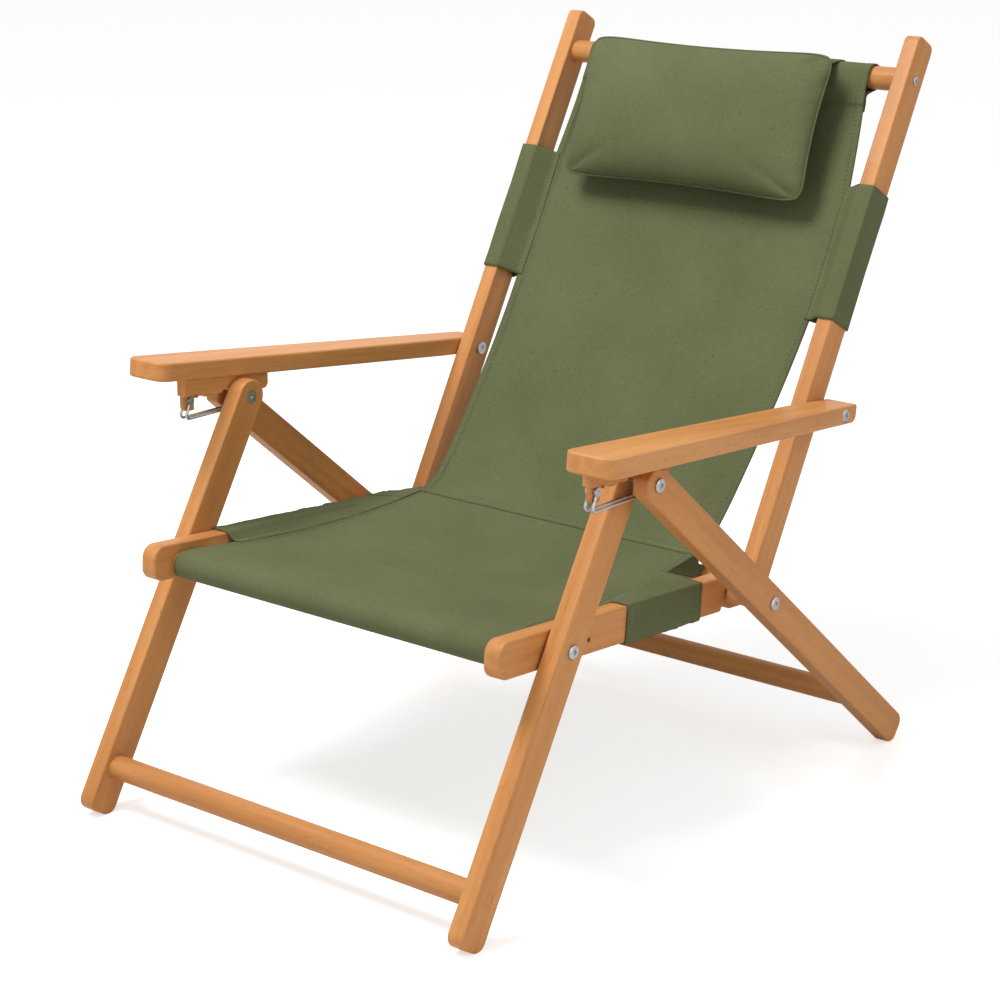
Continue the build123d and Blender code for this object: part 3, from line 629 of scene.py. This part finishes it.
# Sleeves: cloth sewn round a bar and drawn in to the edge of the panel.
sleeveCut = {
    "room": 0.00095,
    "corner": 0.0022,
    "cornerSoft": 0.0006,
    "overlap": 0.0060,
    "layer": 0.0016,
    "edgeRise": 0.0004,
    "bulge": 0.0005,
    "shoulder": 0.0020,
    "lead": 0.45,
    "leadBelow": 0.40,
    "shoulderFade": 0.30,
    "puff": 0.0007,
    "puffNoise": (9, 22, 5.3),  # scale around, scale along, seed
    "slantSpan": 0.020,
    "step": 0.0022,
    "thickness": 0.0012,
}
uprightBar = {"inner": 0.2140, "outer": 0.2320, "half": 0.0170}
railBar = {"inner": 0.2125, "outer": 0.2315, "half": 0.01825}


def sleeveSection(bar, panel, reach):  # once round the bar, from the panel's top to its underside
    cut = sleeveCut
    edge, lift = panel.half(reach), panel.lift(reach)
    top, low = bar["half"] + cut["room"], -bar["half"] - cut["room"]
    near, far = bar["inner"] - cut["room"], bar["outer"] + cut["room"]
    corner, soft = cut["corner"], cut["cornerSoft"]
    over, under = lift + cut["layer"], lift - cut["layer"]
    start = edge - cut["overlap"]
    lead = edge + (near - edge) * cut["lead"]
    above = max(0.0, over - top)
    shoulder = top - cut["shoulder"] if above == 0 else top + above * cut["lead"]
    return smoothLine([
        (start, over), (edge, over + cut["edgeRise"]),
        (lead, over + (shoulder - over) * cut["lead"]), (near - cut["bulge"], shoulder),
        (near + corner, top + above * cut["shoulderFade"]), (far - corner, top),
        (far - soft, top - soft), (far, top - corner), (far, low + corner),
        (far - soft, low + soft), (far - corner, low), (near + corner, low),
        (near - cut["bulge"], low + cut["shoulder"]),
        (lead, under + (low - lift) * cut["leadBelow"]),
        (edge, under - cut["edgeRise"]), (start, under)], cut["step"])


def barMiddle(bar):
    return Vector(((bar["inner"] + bar["outer"]) / 2, 0))


def thinned(section, count):  # as many points as asked, evenly picked
    return [section[round(part / (count - 1) * (len(section) - 1))] for part in range(count)]


def sleevePiece(name, hand, bar, panel, low, high, count, slant):
    reaches = spread(low, high, count)
    sections = [sleeveSection(bar, panel, reach) for reach in reaches]
    columns = min(len(section) for section in sections)
    around, along, seed = sleeveCut["puffNoise"]
    rows = []
    for reach, section in zip(reaches, sections):
        row = []
        for column, spot in enumerate(thinned(section, columns)):
            share = column / (columns - 1)
            ripple = noise.noise(Vector((share * around, reach * along, hand * seed)))
            puff = abs(ripple) * sleeveCut["puff"] * bumpUp(share)
            away = (spot - barMiddle(bar)).normalized() * puff
            onPanel = min(1.0, max(0.0, (bar["inner"] - spot.x) / sleeveCut["slantSpan"]))
            ahead = slant * onPanel * (1 - (reach - low) / (high - low))
            row.append(panel.place(hand * (spot.x + away.x), reach + ahead, spot.y + away.y))
        rows.append(row)
    return gridPiece(name, rows, canvas, sleeveCut["thickness"])


# Front and rear end of each seat sleeve, and how far its front edge slants back on the panel.
seatSleeves = {1: (0.114, 0.241, 0.0), -1: (0.021, 0.268, 0.010)}
sleeveRow = 0.004
wingRows = 36
handNames = {1: "right", -1: "left"}
wingPieces, sleevePieces = {}, {}
for hand, handName in handNames.items():
    wingPieces[hand] = sleevePiece("backWing_" + handName, hand, uprightBar, back,
                                   backCloth["wingLow"], backCloth["wingHigh"], wingRows, 0.0)
    low, high, slant = seatSleeves[hand]
    sleevePieces[hand] = sleevePiece("seatSleeve_" + handName, hand, railBar, seat,
                                     low, high, round((high - low) / sleeveRow), slant)

# The left sleeve's cloth goes on to the seam over the rail, open below.
sleeveEnd = {"low": 0.2666, "high": 0.3010, "drop": 0.0100, "over": 0.0005,
             "rows": 11, "columns": 25}


def endSection(reach):
    kept = []
    for spot in sleeveSection(railBar, seat, reach):
        if spot.x > railBar["inner"] and spot.y < railBar["half"] - sleeveEnd["drop"]:
            break
        kept.append(Vector((spot.x, spot.y + sleeveEnd["over"])))
    return thinned(kept, sleeveEnd["columns"])


endRows = [[seat.place(-spot.x, reach, spot.y) for spot in endSection(reach)]
           for reach in spread(sleeveEnd["low"], sleeveEnd["high"], sleeveEnd["rows"])]
endPiece, endFlat, endArea = gridPiece("seatSleeveEnd", endRows, canvas, sleeveCut["thickness"])
print("chair: wings and sleeves made")

# Flap under the seam, round the rear crossbar.
seamFlap = {
    "top": (0.3033, 0.0286),
    "bar": 0.3210,
    "radius": 0.01295,
    "turns": (170, -141, -20),
    "half": 0.1850,
    "columns": 24,
    "step": 0.0035,
    "thickness": 0.0014,
}
flapSide = smoothLine([seamFlap["top"], *arc(seamFlap["bar"], 0.0, seamFlap["radius"],
                                             seamFlap["turns"])], seamFlap["step"])
flapRows = [[seat.place(seamFlap["half"] * u, spot.x, spot.y)
             for u in spread(-1, 1, seamFlap["columns"])] for spot in flapSide]
flapPiece, flapFlat, flapArea = gridPiece("seamFlap", flapRows, canvas, seamFlap["thickness"])

# Head pillow: rounded corners, drawn-in sides, full in the middle.
pillowShape = {
    "bottom": Vector((-0.10116, -0.1264)),
    "top": Vector((-0.04116, 0.0266)),
    "half": 0.1600,
    "front": 0.0335,
    "rear": 0.0300,
    "fullPowers": (2.6, 2.0, 0.52),  # across, up, and of their product
    "sideDraw": 0.0070,
    "endDraw": 0.0055,
    "cornerPower": 11,
    "cornerStart": 0.5,
    "pucker": 0.0007,
    "puckerPitch": 0.024,
    "puckerEase": (0.005, 0.020),  # rises over the first distance from the seam, then fades
    "puckerNoise": (25, 3, 1.7),  # scale along the seam, scale through it, seed
    "puckerWaver": 3,
    "grid": (64, 38),
    "gridEase": 0.75,
    "flatScale": (0.17, 0.09),
    "fill": 0.85,
}
pillowCloth = {"frames": 20, "quality": 6, "pressure": 14.0, "cap": 0.0060, "mass": 0.25,
               "tension": 15.0, "bending": 0.40}
topBar = station(back.start, back.along, backCloth["bar"], 0)
pillowLow = topBar + pillowShape["bottom"]
pillowHigh = topBar + pillowShape["top"]
pillowUp = heading(pillowLow, pillowHigh)
pillowHeight = (pillowHigh - pillowLow).length


def pillowPlace(u, v, depth):  # u across and v up, both -1 to 1, depth 1 front, 0 seam, -1 rear
    shape = pillowShape
    x = u * (shape["half"] - shape["sideDraw"] * (1 - v * v) * abs(u))
    rise = v * (pillowHeight / 2 - shape["endDraw"] * (1 - u * u) * abs(v))
    larger = max(abs(u), abs(v))
    if larger > shape["cornerStart"]:
        power = shape["cornerPower"]
        rounding = larger / (abs(u) ** power + abs(v) ** power) ** (1 / power)
        x, rise = x * rounding, rise * rounding
    sideGap, endGap = shape["half"] * (1 - abs(u)), pillowHeight / 2 * (1 - abs(v))
    acrossPower, upPower, power = shape["fullPowers"]
    fullness = ((1 - abs(u) ** acrossPower) * (1 - abs(v) ** upPower)) ** power
    edge = min(sideGap, endGap)
    near, far = shape["puckerEase"]
    fade = math.exp(-edge / far) * min(1.0, edge / near)
    along = x if sideGap > endGap else rise
    alongScale, deepScale, seed = shape["puckerNoise"]
    waver = noise.noise(Vector((along * alongScale, depth * deepScale, seed)))
    turn = along / shape["puckerPitch"] * 2 * math.pi + shape["puckerWaver"] * waver
    wave = math.sin(turn) * shape["pucker"] * fade
    deep = shape["front"] if depth > 0 else shape["rear"]
    out = depth * (deep * fullness + wave)
    return inSpace(x, station((pillowLow + pillowHigh) / 2, pillowUp, rise, out))


def easedGrid(count):  # -1 to 1, closer together towards the seam
    ease = pillowShape["gridEase"]
    return [ease * math.sin(math.pi / 2 * t) + (1 - ease) * t for t in spread(-1, 1, count)]


def swell(piece, ring):  # cloth under pressure, held at its seam, each point's travel capped
    start = [point.co.copy() for point in piece.data.vertices]
    piece.vertex_groups.new(name="sewnSeam").add(ring, 1.0, "REPLACE")
    cloth = piece.modifiers.new("swell", "CLOTH")
    settings = cloth.settings
    settings.quality = pillowCloth["quality"]
    settings.mass = pillowCloth["mass"]
    settings.tension_stiffness = settings.compression_stiffness = pillowCloth["tension"]
    settings.bending_stiffness = pillowCloth["bending"]
    settings.vertex_group_mass = "sewnSeam"
    settings.use_pressure = True
    settings.uniform_pressure_force = pillowCloth["pressure"]
    settings.effector_weights.gravity = 0
    cloth.point_cache.frame_start = 1
    cloth.point_cache.frame_end = pillowCloth["frames"]
    for step in range(1, pillowCloth["frames"] + 1):
        bpy.context.scene.frame_set(step)
    settle(piece)
    furthest = 0.0
    for point, origin in zip(piece.data.vertices, start):
        travel = point.co - origin
        furthest = max(furthest, travel.length)
        if travel.length > pillowCloth["cap"]:
            point.co = origin + travel * (pillowCloth["cap"] / travel.length)
    bpy.context.scene.frame_set(1)
    print("chair: pillow swelled", round(furthest * 1000, 1), "mm at most")


def makePillow(name):
    across, up = (easedGrid(count) for count in pillowShape["grid"])
    lastRow, lastColumn = len(up) - 1, len(across) - 1
    flatAcross, flatUp = pillowShape["flatScale"]
    work = bmesh.new()
    layer = work.loops.layers.uv.new("flatMap")
    spots = {}

    def corner(row, column, depth):
        rim = row in (0, lastRow) or column in (0, lastColumn)
        key = (row, column, 0 if rim else depth)
        if key not in spots:
            spots[key] = work.verts.new(pillowPlace(across[column], up[row], key[2]))
        return spots[key]

    for depth in (1, -1):
        for row in range(lastRow):
            for column in range(lastColumn):
                cells = [(row, column), (row, column + 1), (row + 1, column + 1), (row + 1, column)]
                if depth < 0:
                    cells.reverse()
                face = work.faces.new([corner(r, c, depth) for r, c in cells])
                face.smooth = True
                for loop, (r, c) in zip(face.loops, cells):
                    loop[layer].uv = (across[c] * flatAcross, up[r] * flatUp)
    work.verts.index_update()
    ring = [corner(0, c, 0).index for c in range(lastColumn)]
    ring += [corner(r, lastColumn, 0).index for r in range(lastRow)]
    ring += [corner(lastRow, c, 0).index for c in range(lastColumn, 0, -1)]
    ring += [corner(r, 0, 0).index for r in range(lastRow, 0, -1)]
    bmesh.ops.recalc_face_normals(work, faces=work.faces)
    data = bpy.data.meshes.new(name)
    work.to_mesh(data)
    work.free()
    data.materials.append(pillowCanvas)
    piece = addObject(name, data)
    swell(piece, ring)
    seam = [piece.data.vertices[index].co.copy() for index in ring]
    finer = piece.modifiers.new("finer", "SUBSURF")
    finer.levels = finer.render_levels = 1
    settle(piece)
    faceOutwards(piece)
    return piece, seam


# Welt: a closed cord of cloth along the pillow's seam.
weltLook = {"radius": 0.0012, "sides": 8, "flatStep": (0.0009, 0.005)}


def makeWelt(name, ring):
    sides, count = weltLook["sides"], len(ring)
    places, faces = [], []
    across = Vector((0, *leftOf(pillowUp)))
    for index in range(count):
        follow = (index + 1) % count
        along = (ring[follow] - ring[index - 1]).normalized()
        out = along.cross(across).normalized()
        deep = out.cross(along).normalized()
        for side in range(sides):
            turn = 2 * math.pi * side / sides
            ray = out * math.cos(turn) + deep * math.sin(turn)
            places.append(ring[index] + ray * weltLook["radius"])
            beside = (side + 1) % sides
            faces.append((index * sides + side, follow * sides + side,
                          follow * sides + beside, index * sides + beside))
    data = bpy.data.meshes.new(name)
    data.from_pydata(places, [], faces)
    layer = data.uv_layers.new(name="flatMap")
    aroundStep, alongStep = weltLook["flatStep"]
    for loop in data.loops:
        index, side = divmod(loop.vertex_index, sides)
        layer.data[loop.index].uv = (side * aroundStep, index * alongStep)
    data.materials.append(pillowCanvas)
    piece = addObject(name, data)
    faceOutwards(piece)
    return piece


pillowPiece, pillowRing = makePillow("headPillow")
pillowWelt = makeWelt("pillowWelt", pillowRing)

# Flap of the pillow, from its rear side over the top bar and down behind it.
pillowFlap = {
    "seamDrop": 0.0100,
    "seamRear": 0.0120,
    "radius": 0.01525,
    "arcParts": 6,
    "tail": 0.045,
    "half": 0.1420,
    "columns": 24,
    "step": 0.0035,
    "thickness": 0.0014,
}
flapSeam = pillowHigh - pillowUp * pillowFlap["seamDrop"]
flapSeam -= leftOf(pillowUp) * pillowFlap["seamRear"]
toSeam = flapSeam - topBar
lean = math.atan2(toSeam.y, toSeam.x) - math.acos(pillowFlap["radius"] / toSeam.length)
overBar = [topBar + Vector((math.cos(turn), math.sin(turn))) * pillowFlap["radius"]
           for turn in reversed(spread(0, lean, pillowFlap["arcParts"]))]
overSide = smoothLine([flapSeam, *overBar, overBar[-1] - Vector((0, pillowFlap["tail"]))],
                      pillowFlap["step"])
overRows = [[inSpace(pillowFlap["half"] * u, spot) for u in spread(-1, 1, pillowFlap["columns"])]
            for spot in overSide]
overPiece, overFlat, overArea = gridPiece("pillowFlap", overRows, canvas, pillowFlap["thickness"])
print("chair: pillow and flaps made")

# Stitches: one thread loop repeated along each sewn line.
stitchLook = {
    "pitch": 0.0046,
    "length": 0.0034,
    "radius": 0.00045,
    "proud": 0.0009,
    "ringProud": 0.0006,
    "ringPuff": 0.3,
    "ringInset": 0.008,
    "seamInsets": (0.0005, 0.0048),
    "seamEnds": 0.002,
    "hemInset": 0.0070,
    "crossInset": 0.004,
    "sleeveGap": 0.004,
    "hemGap": 0.0025,
    "lapInset": 0.0022,
    "seatSpan": (0.0020, 0.2920),
    "backSpan": (0.012, 0.540),
    "alongParts": 40,
    "acrossParts": 60,
}


def makeStitchTree():
    tree = bpy.data.node_groups.new("sewnLine", "GeometryNodeTree")
    tree.interface.new_socket("Line", in_out="INPUT", socket_type="NodeSocketGeometry")
    for label in ("Pitch", "Stitch Length", "Thread Radius"):
        tree.interface.new_socket(label, in_out="INPUT", socket_type="NodeSocketFloat")
    tree.interface.new_socket("Thread", in_out="INPUT", socket_type="NodeSocketMaterial")
    tree.interface.new_socket("Stitches", in_out="OUTPUT", socket_type="NodeSocketGeometry")

    def add(kind, settings=None, values=None):
        made = tree.nodes.new(kind)
        for name, value in (settings or {}).items():
            setattr(made, name, value)
        for name, value in (values or {}).items():
            if isinstance(value, bpy.types.NodeSocket):
                tree.links.new(value, made.inputs[name])
            else:
                made.inputs[name].default_value = value
        return made

    given = add("NodeGroupInput")
    curve = add("GeometryNodeMeshToCurve", None, {"Mesh": given.outputs["Line"]})
    even = add("GeometryNodeResampleCurve", {"mode": "LENGTH"},
               {"Curve": curve.outputs["Curve"], "Length": given.outputs["Pitch"]})
    bead = add("GeometryNodeMeshUVSphere", None, {"Segments": 6, "Rings": 4, "Radius": 1.0})
    halfLong = add("ShaderNodeMath", {"operation": "MULTIPLY"},
                   {0: given.outputs["Stitch Length"], 1: 0.5})
    size = add("ShaderNodeCombineXYZ", None,
               {"X": given.outputs["Thread Radius"], "Y": given.outputs["Thread Radius"],
                "Z": halfLong.outputs[0]})
    loop = add("GeometryNodeTransform", None,
               {"Geometry": bead.outputs["Mesh"], "Scale": size.outputs[0]})
    tangent = add("GeometryNodeInputTangent")
    turned = add("FunctionNodeAlignRotationToVector", {"axis": "Z"}, {"Vector": tangent.outputs[0]})
    placed = add("GeometryNodeInstanceOnPoints", None,
                 {"Points": even.outputs["Curve"], "Instance": loop.outputs["Geometry"],
                  "Rotation": turned.outputs["Rotation"]})
    real = add("GeometryNodeRealizeInstances", None, {"Geometry": placed.outputs["Instances"]})
    dyed = add("GeometryNodeSetMaterial", None,
               {"Geometry": real.outputs["Geometry"], "Material": given.outputs["Thread"]})
    add("NodeGroupOutput", None, {"Stitches": dyed.outputs["Geometry"]})
    return tree


stitchTree = makeStitchTree()


def sewnPiece(name, lines):
    data = bpy.data.meshes.new(name)
    piece = addObject(name, data)
    places, joins = [], []
    for line in lines:
        first = len(places)
        places += line
        joins += [(index, index + 1) for index in range(first, first + len(line) - 1)]
    data.from_pydata(places, joins, [])
    sewing = piece.modifiers.new("sewing", "NODES")
    sewing.node_group = stitchTree
    given = {"Pitch": stitchLook["pitch"], "Stitch Length": stitchLook["length"],
             "Thread Radius": stitchLook["radius"], "Thread": thread}
    for item in stitchTree.interface.items_tree:
        if item.in_out == "INPUT" and item.name in given:
            sewing[item.identifier] = given[item.name]
    settle(piece)
    faceOutwards(piece)
    return piece


def acrossLap(reach):
    half = seat.half(reach) - stitchLook["crossInset"]
    lift = seat.lift(reach) + lap["layer"] + stitchLook["proud"]
    return [seat.place(u * half, reach, lift) for u in spread(-1, 1, stitchLook["acrossParts"])]


def acrossBack(reach):
    half = back.half(reach) - stitchLook["crossInset"]
    lift = back.lift(reach) + sideHem["raise"] + stitchLook["proud"]
    return [back.place(u * half, reach, lift - back.drop(u, reach, u * half))
            for u in spread(-1, 1, stitchLook["acrossParts"])]


def upBack(hand, low, high):
    line = []
    for reach in spread(low, high, stitchLook["alongParts"]):
        half = back.half(reach)
        x = half - stitchLook["hemInset"]
        lift = hemmed(reach, back.lift(reach)) + sideHem["raise"] + stitchLook["proud"]
        line.append(back.place(hand * x, reach, lift - back.drop(x / half, reach, hand * x)))
    return line


def alongSeat(low, high):  # on the right side only, where no sleeve covers it
    line = []
    for reach in spread(low, high, stitchLook["alongParts"]):
        half = seat.half(reach)
        x = half - stitchLook["hemInset"]
        lift = seat.lift(reach) + sideHem["raise"] + stitchLook["proud"]
        line.append(seat.place(x - sidePull(x / half, reach), reach,
                               lift - seat.drop(x / half, reach, x)))
    return line


def sleeveSeams(hand, panel, low, high):  # two lines on the sleeve's own top layer
    rise = sleeveCut["layer"] + stitchLook["proud"]
    reaches = spread(low + stitchLook["seamEnds"], high - stitchLook["seamEnds"],
                     stitchLook["alongParts"])
    return [[panel.place(hand * (panel.half(reach) - inset), reach, panel.lift(reach) + rise)
             for reach in reaches] for inset in stitchLook["seamInsets"]]


def sleeveRings(hand, bar, panel, low, high):  # round both ends of the sleeve, not below the bar
    puff = stitchLook["ringProud"] + sleeveCut["puff"] * stitchLook["ringPuff"]
    rings = []
    for reach in (low + stitchLook["ringInset"], high - stitchLook["ringInset"]):
        ring = []
        for spot in sleeveSection(bar, panel, reach)[2:-2]:
            if spot.y < stitchLook["proud"] - bar["half"]:
                break
            away = (spot - barMiddle(bar)).normalized() * puff
            ring.append(panel.place(hand * (spot.x + away.x), reach, spot.y + away.y))
        rings.append(ring)
    return rings


gap = stitchLook["sleeveGap"]
seatLow, seatHigh = stitchLook["seatSpan"]
backLow, backHigh = stitchLook["backSpan"]
wingLow, wingHigh = backCloth["wingLow"], backCloth["wingHigh"]
seatStitches = sewnPiece("seatStitches", [alongSeat(seatLow, seatSleeves[1][0] - gap),
                                          alongSeat(seatSleeves[1][1] + gap, seatHigh)])
backStitches = sewnPiece("backStitches", [
    acrossBack(backCloth["hemLine"] + stitchLook["hemGap"]),
    acrossLap(lap["low"] + stitchLook["lapInset"]),
    acrossLap(lap["high"] - stitchLook["lapInset"]),
    *(upBack(hand, backLow, wingLow - gap) for hand in handNames),
    *(upBack(hand, wingHigh + gap, backHigh) for hand in handNames)])
wingStitches, sleeveStitches = {}, {}
for hand, handName in handNames.items():
    wingStitches[hand] = sewnPiece("wingStitches_" + handName, [
        *sleeveSeams(hand, back, wingLow, wingHigh),
        *sleeveRings(hand, uprightBar, back, wingLow, wingHigh)])
    low, high, slant = seatSleeves[hand]
    # The left front leg folds close past the sleeve, so that one has no rings.
    rings = sleeveRings(hand, railBar, seat, low, high) if hand > 0 else []
    sleeveStitches[hand] = sewnPiece("sleeveStitches_" + handName, [
        *sleeveSeams(hand, seat, low + slant, high), *rings])
print("chair: stitches sewn")

# Pieces baked in place or attached to the body they move with; the imported parts they replace are
# hidden.
seamPoint = seat.place(0, *seatCloth["line"][-1])
for piece in (seatPiece, seatStitches):
    seat.place(0, seatCloth["blendStart"], seat.lift(seatCloth["blendStart"]))
    seat.place(0, seatCloth["blendEnd"], seat.lift(seatCloth["blendEnd"]))
    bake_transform(piece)
seat.place(0, seamFlap["bar"], seamFlap["radius"])
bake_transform(flapPiece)
for piece in (backPiece, backStitches):
    back.place(0, backCloth["blendEnd"], back.lift(backCloth["blendEnd"]))
    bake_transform(piece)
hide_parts("seat_panel")
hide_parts("back_panel")
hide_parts("seam_flap")
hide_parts("pillow")
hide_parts("pillow_flap")
for piece in (pillowPiece, pillowWelt, overPiece):
    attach(piece, "head_pillow")
for hand, handName in handNames.items():
    wing, wingFlat, wingArea = wingPieces[hand]
    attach(wing, "back_frame")
    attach(wingStitches[hand], "back_frame")
    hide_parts("back_wing_" + handName)
    sleeve, sleeveFlat, sleeveArea = sleevePieces[hand]
    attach(sleeve, "seat_frame")
    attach(sleeveStitches[hand], "seat_frame")
    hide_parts("seat_sleeve_" + handName)
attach(endPiece, "seat_frame")
print("chair: pieces placed on their bodies")

# Studio: pale floor, soft key from the upper front left, weak fill from the right, even daylight.
studio = {
    "floorHalf": 14.0,
    "floorColour": (0.86, 0.86, 0.86, 1.0),
    "floorRoughness": 0.9,
    "cameraLift": 0.575,
    "daylight": 0.46,
    "key": {"turn": -30.0, "rise": 64.0, "distance": 2.6, "size": 1.1, "power": 58.0},
    "fill": {"turn": 82.0, "rise": 24.0, "distance": 3.0, "size": 2.4, "power": 16.0},
}


def makeFloor(look):
    board = Board(bpy.data.materials.new("paleFloor"))
    seen = board.node("ShaderNodeLightPath", out="Is Camera Ray")
    board.finish({"Base Color": look["floorColour"],
                  "Roughness": look["floorRoughness"],
                  "Specular IOR Level": 0.0,
                  "Emission Color": (1.0, 1.0, 1.0, 1.0),
                  "Emission Strength": seen * look["cameraLift"]})
    half = look["floorHalf"]
    data = bpy.data.meshes.new("floor")
    data.from_pydata([(-half, -half, 0), (half, -half, 0), (half, half, 0), (-half, half, 0)],
                     [], [(0, 1, 2, 3)])
    data.materials.append(board.owner)
    addObject("floor", data)


def makeWorld(look):  # white to the camera and in gloss, daylight for the rest
    board = Board(bpy.data.worlds.new("daylight"))
    bpy.context.scene.world = board.owner
    camera, gloss = (board.node("ShaderNodeLightPath", out=ray)
                     for ray in ("Is Camera Ray", "Is Glossy Ray"))
    seen = board.node("ShaderNodeMath", {"operation": "MAXIMUM"}, {0: camera, 1: gloss})
    level = board.node("ShaderNodeMapRange", None,
                       {"Value": seen, "To Min": look["daylight"], "To Max": 1.0})
    sky = board.node("ShaderNodeBackground", None,
                     {"Color": (1.0, 1.0, 1.0, 1.0), "Strength": level})
    board.node("ShaderNodeOutputWorld", None, {"Surface": sky})


def makeLamp(name, look):
    away = outward(math.radians(look["turn"]), math.radians(look["rise"]))
    data = bpy.data.lights.new(name, "AREA")
    data.shape = "SQUARE"
    data.size = look["size"]
    data.energy = look["power"]
    lamp = addObject(name, data)
    lamp.location = cameraView["target"] + away * look["distance"]
    lamp.rotation_euler = away.to_track_quat("Z", "Y").to_euler()


makeFloor(studio)
makeWorld(studio)
makeLamp("key", studio["key"])
makeLamp("fill", studio["fill"])
print("chair: studio lit")
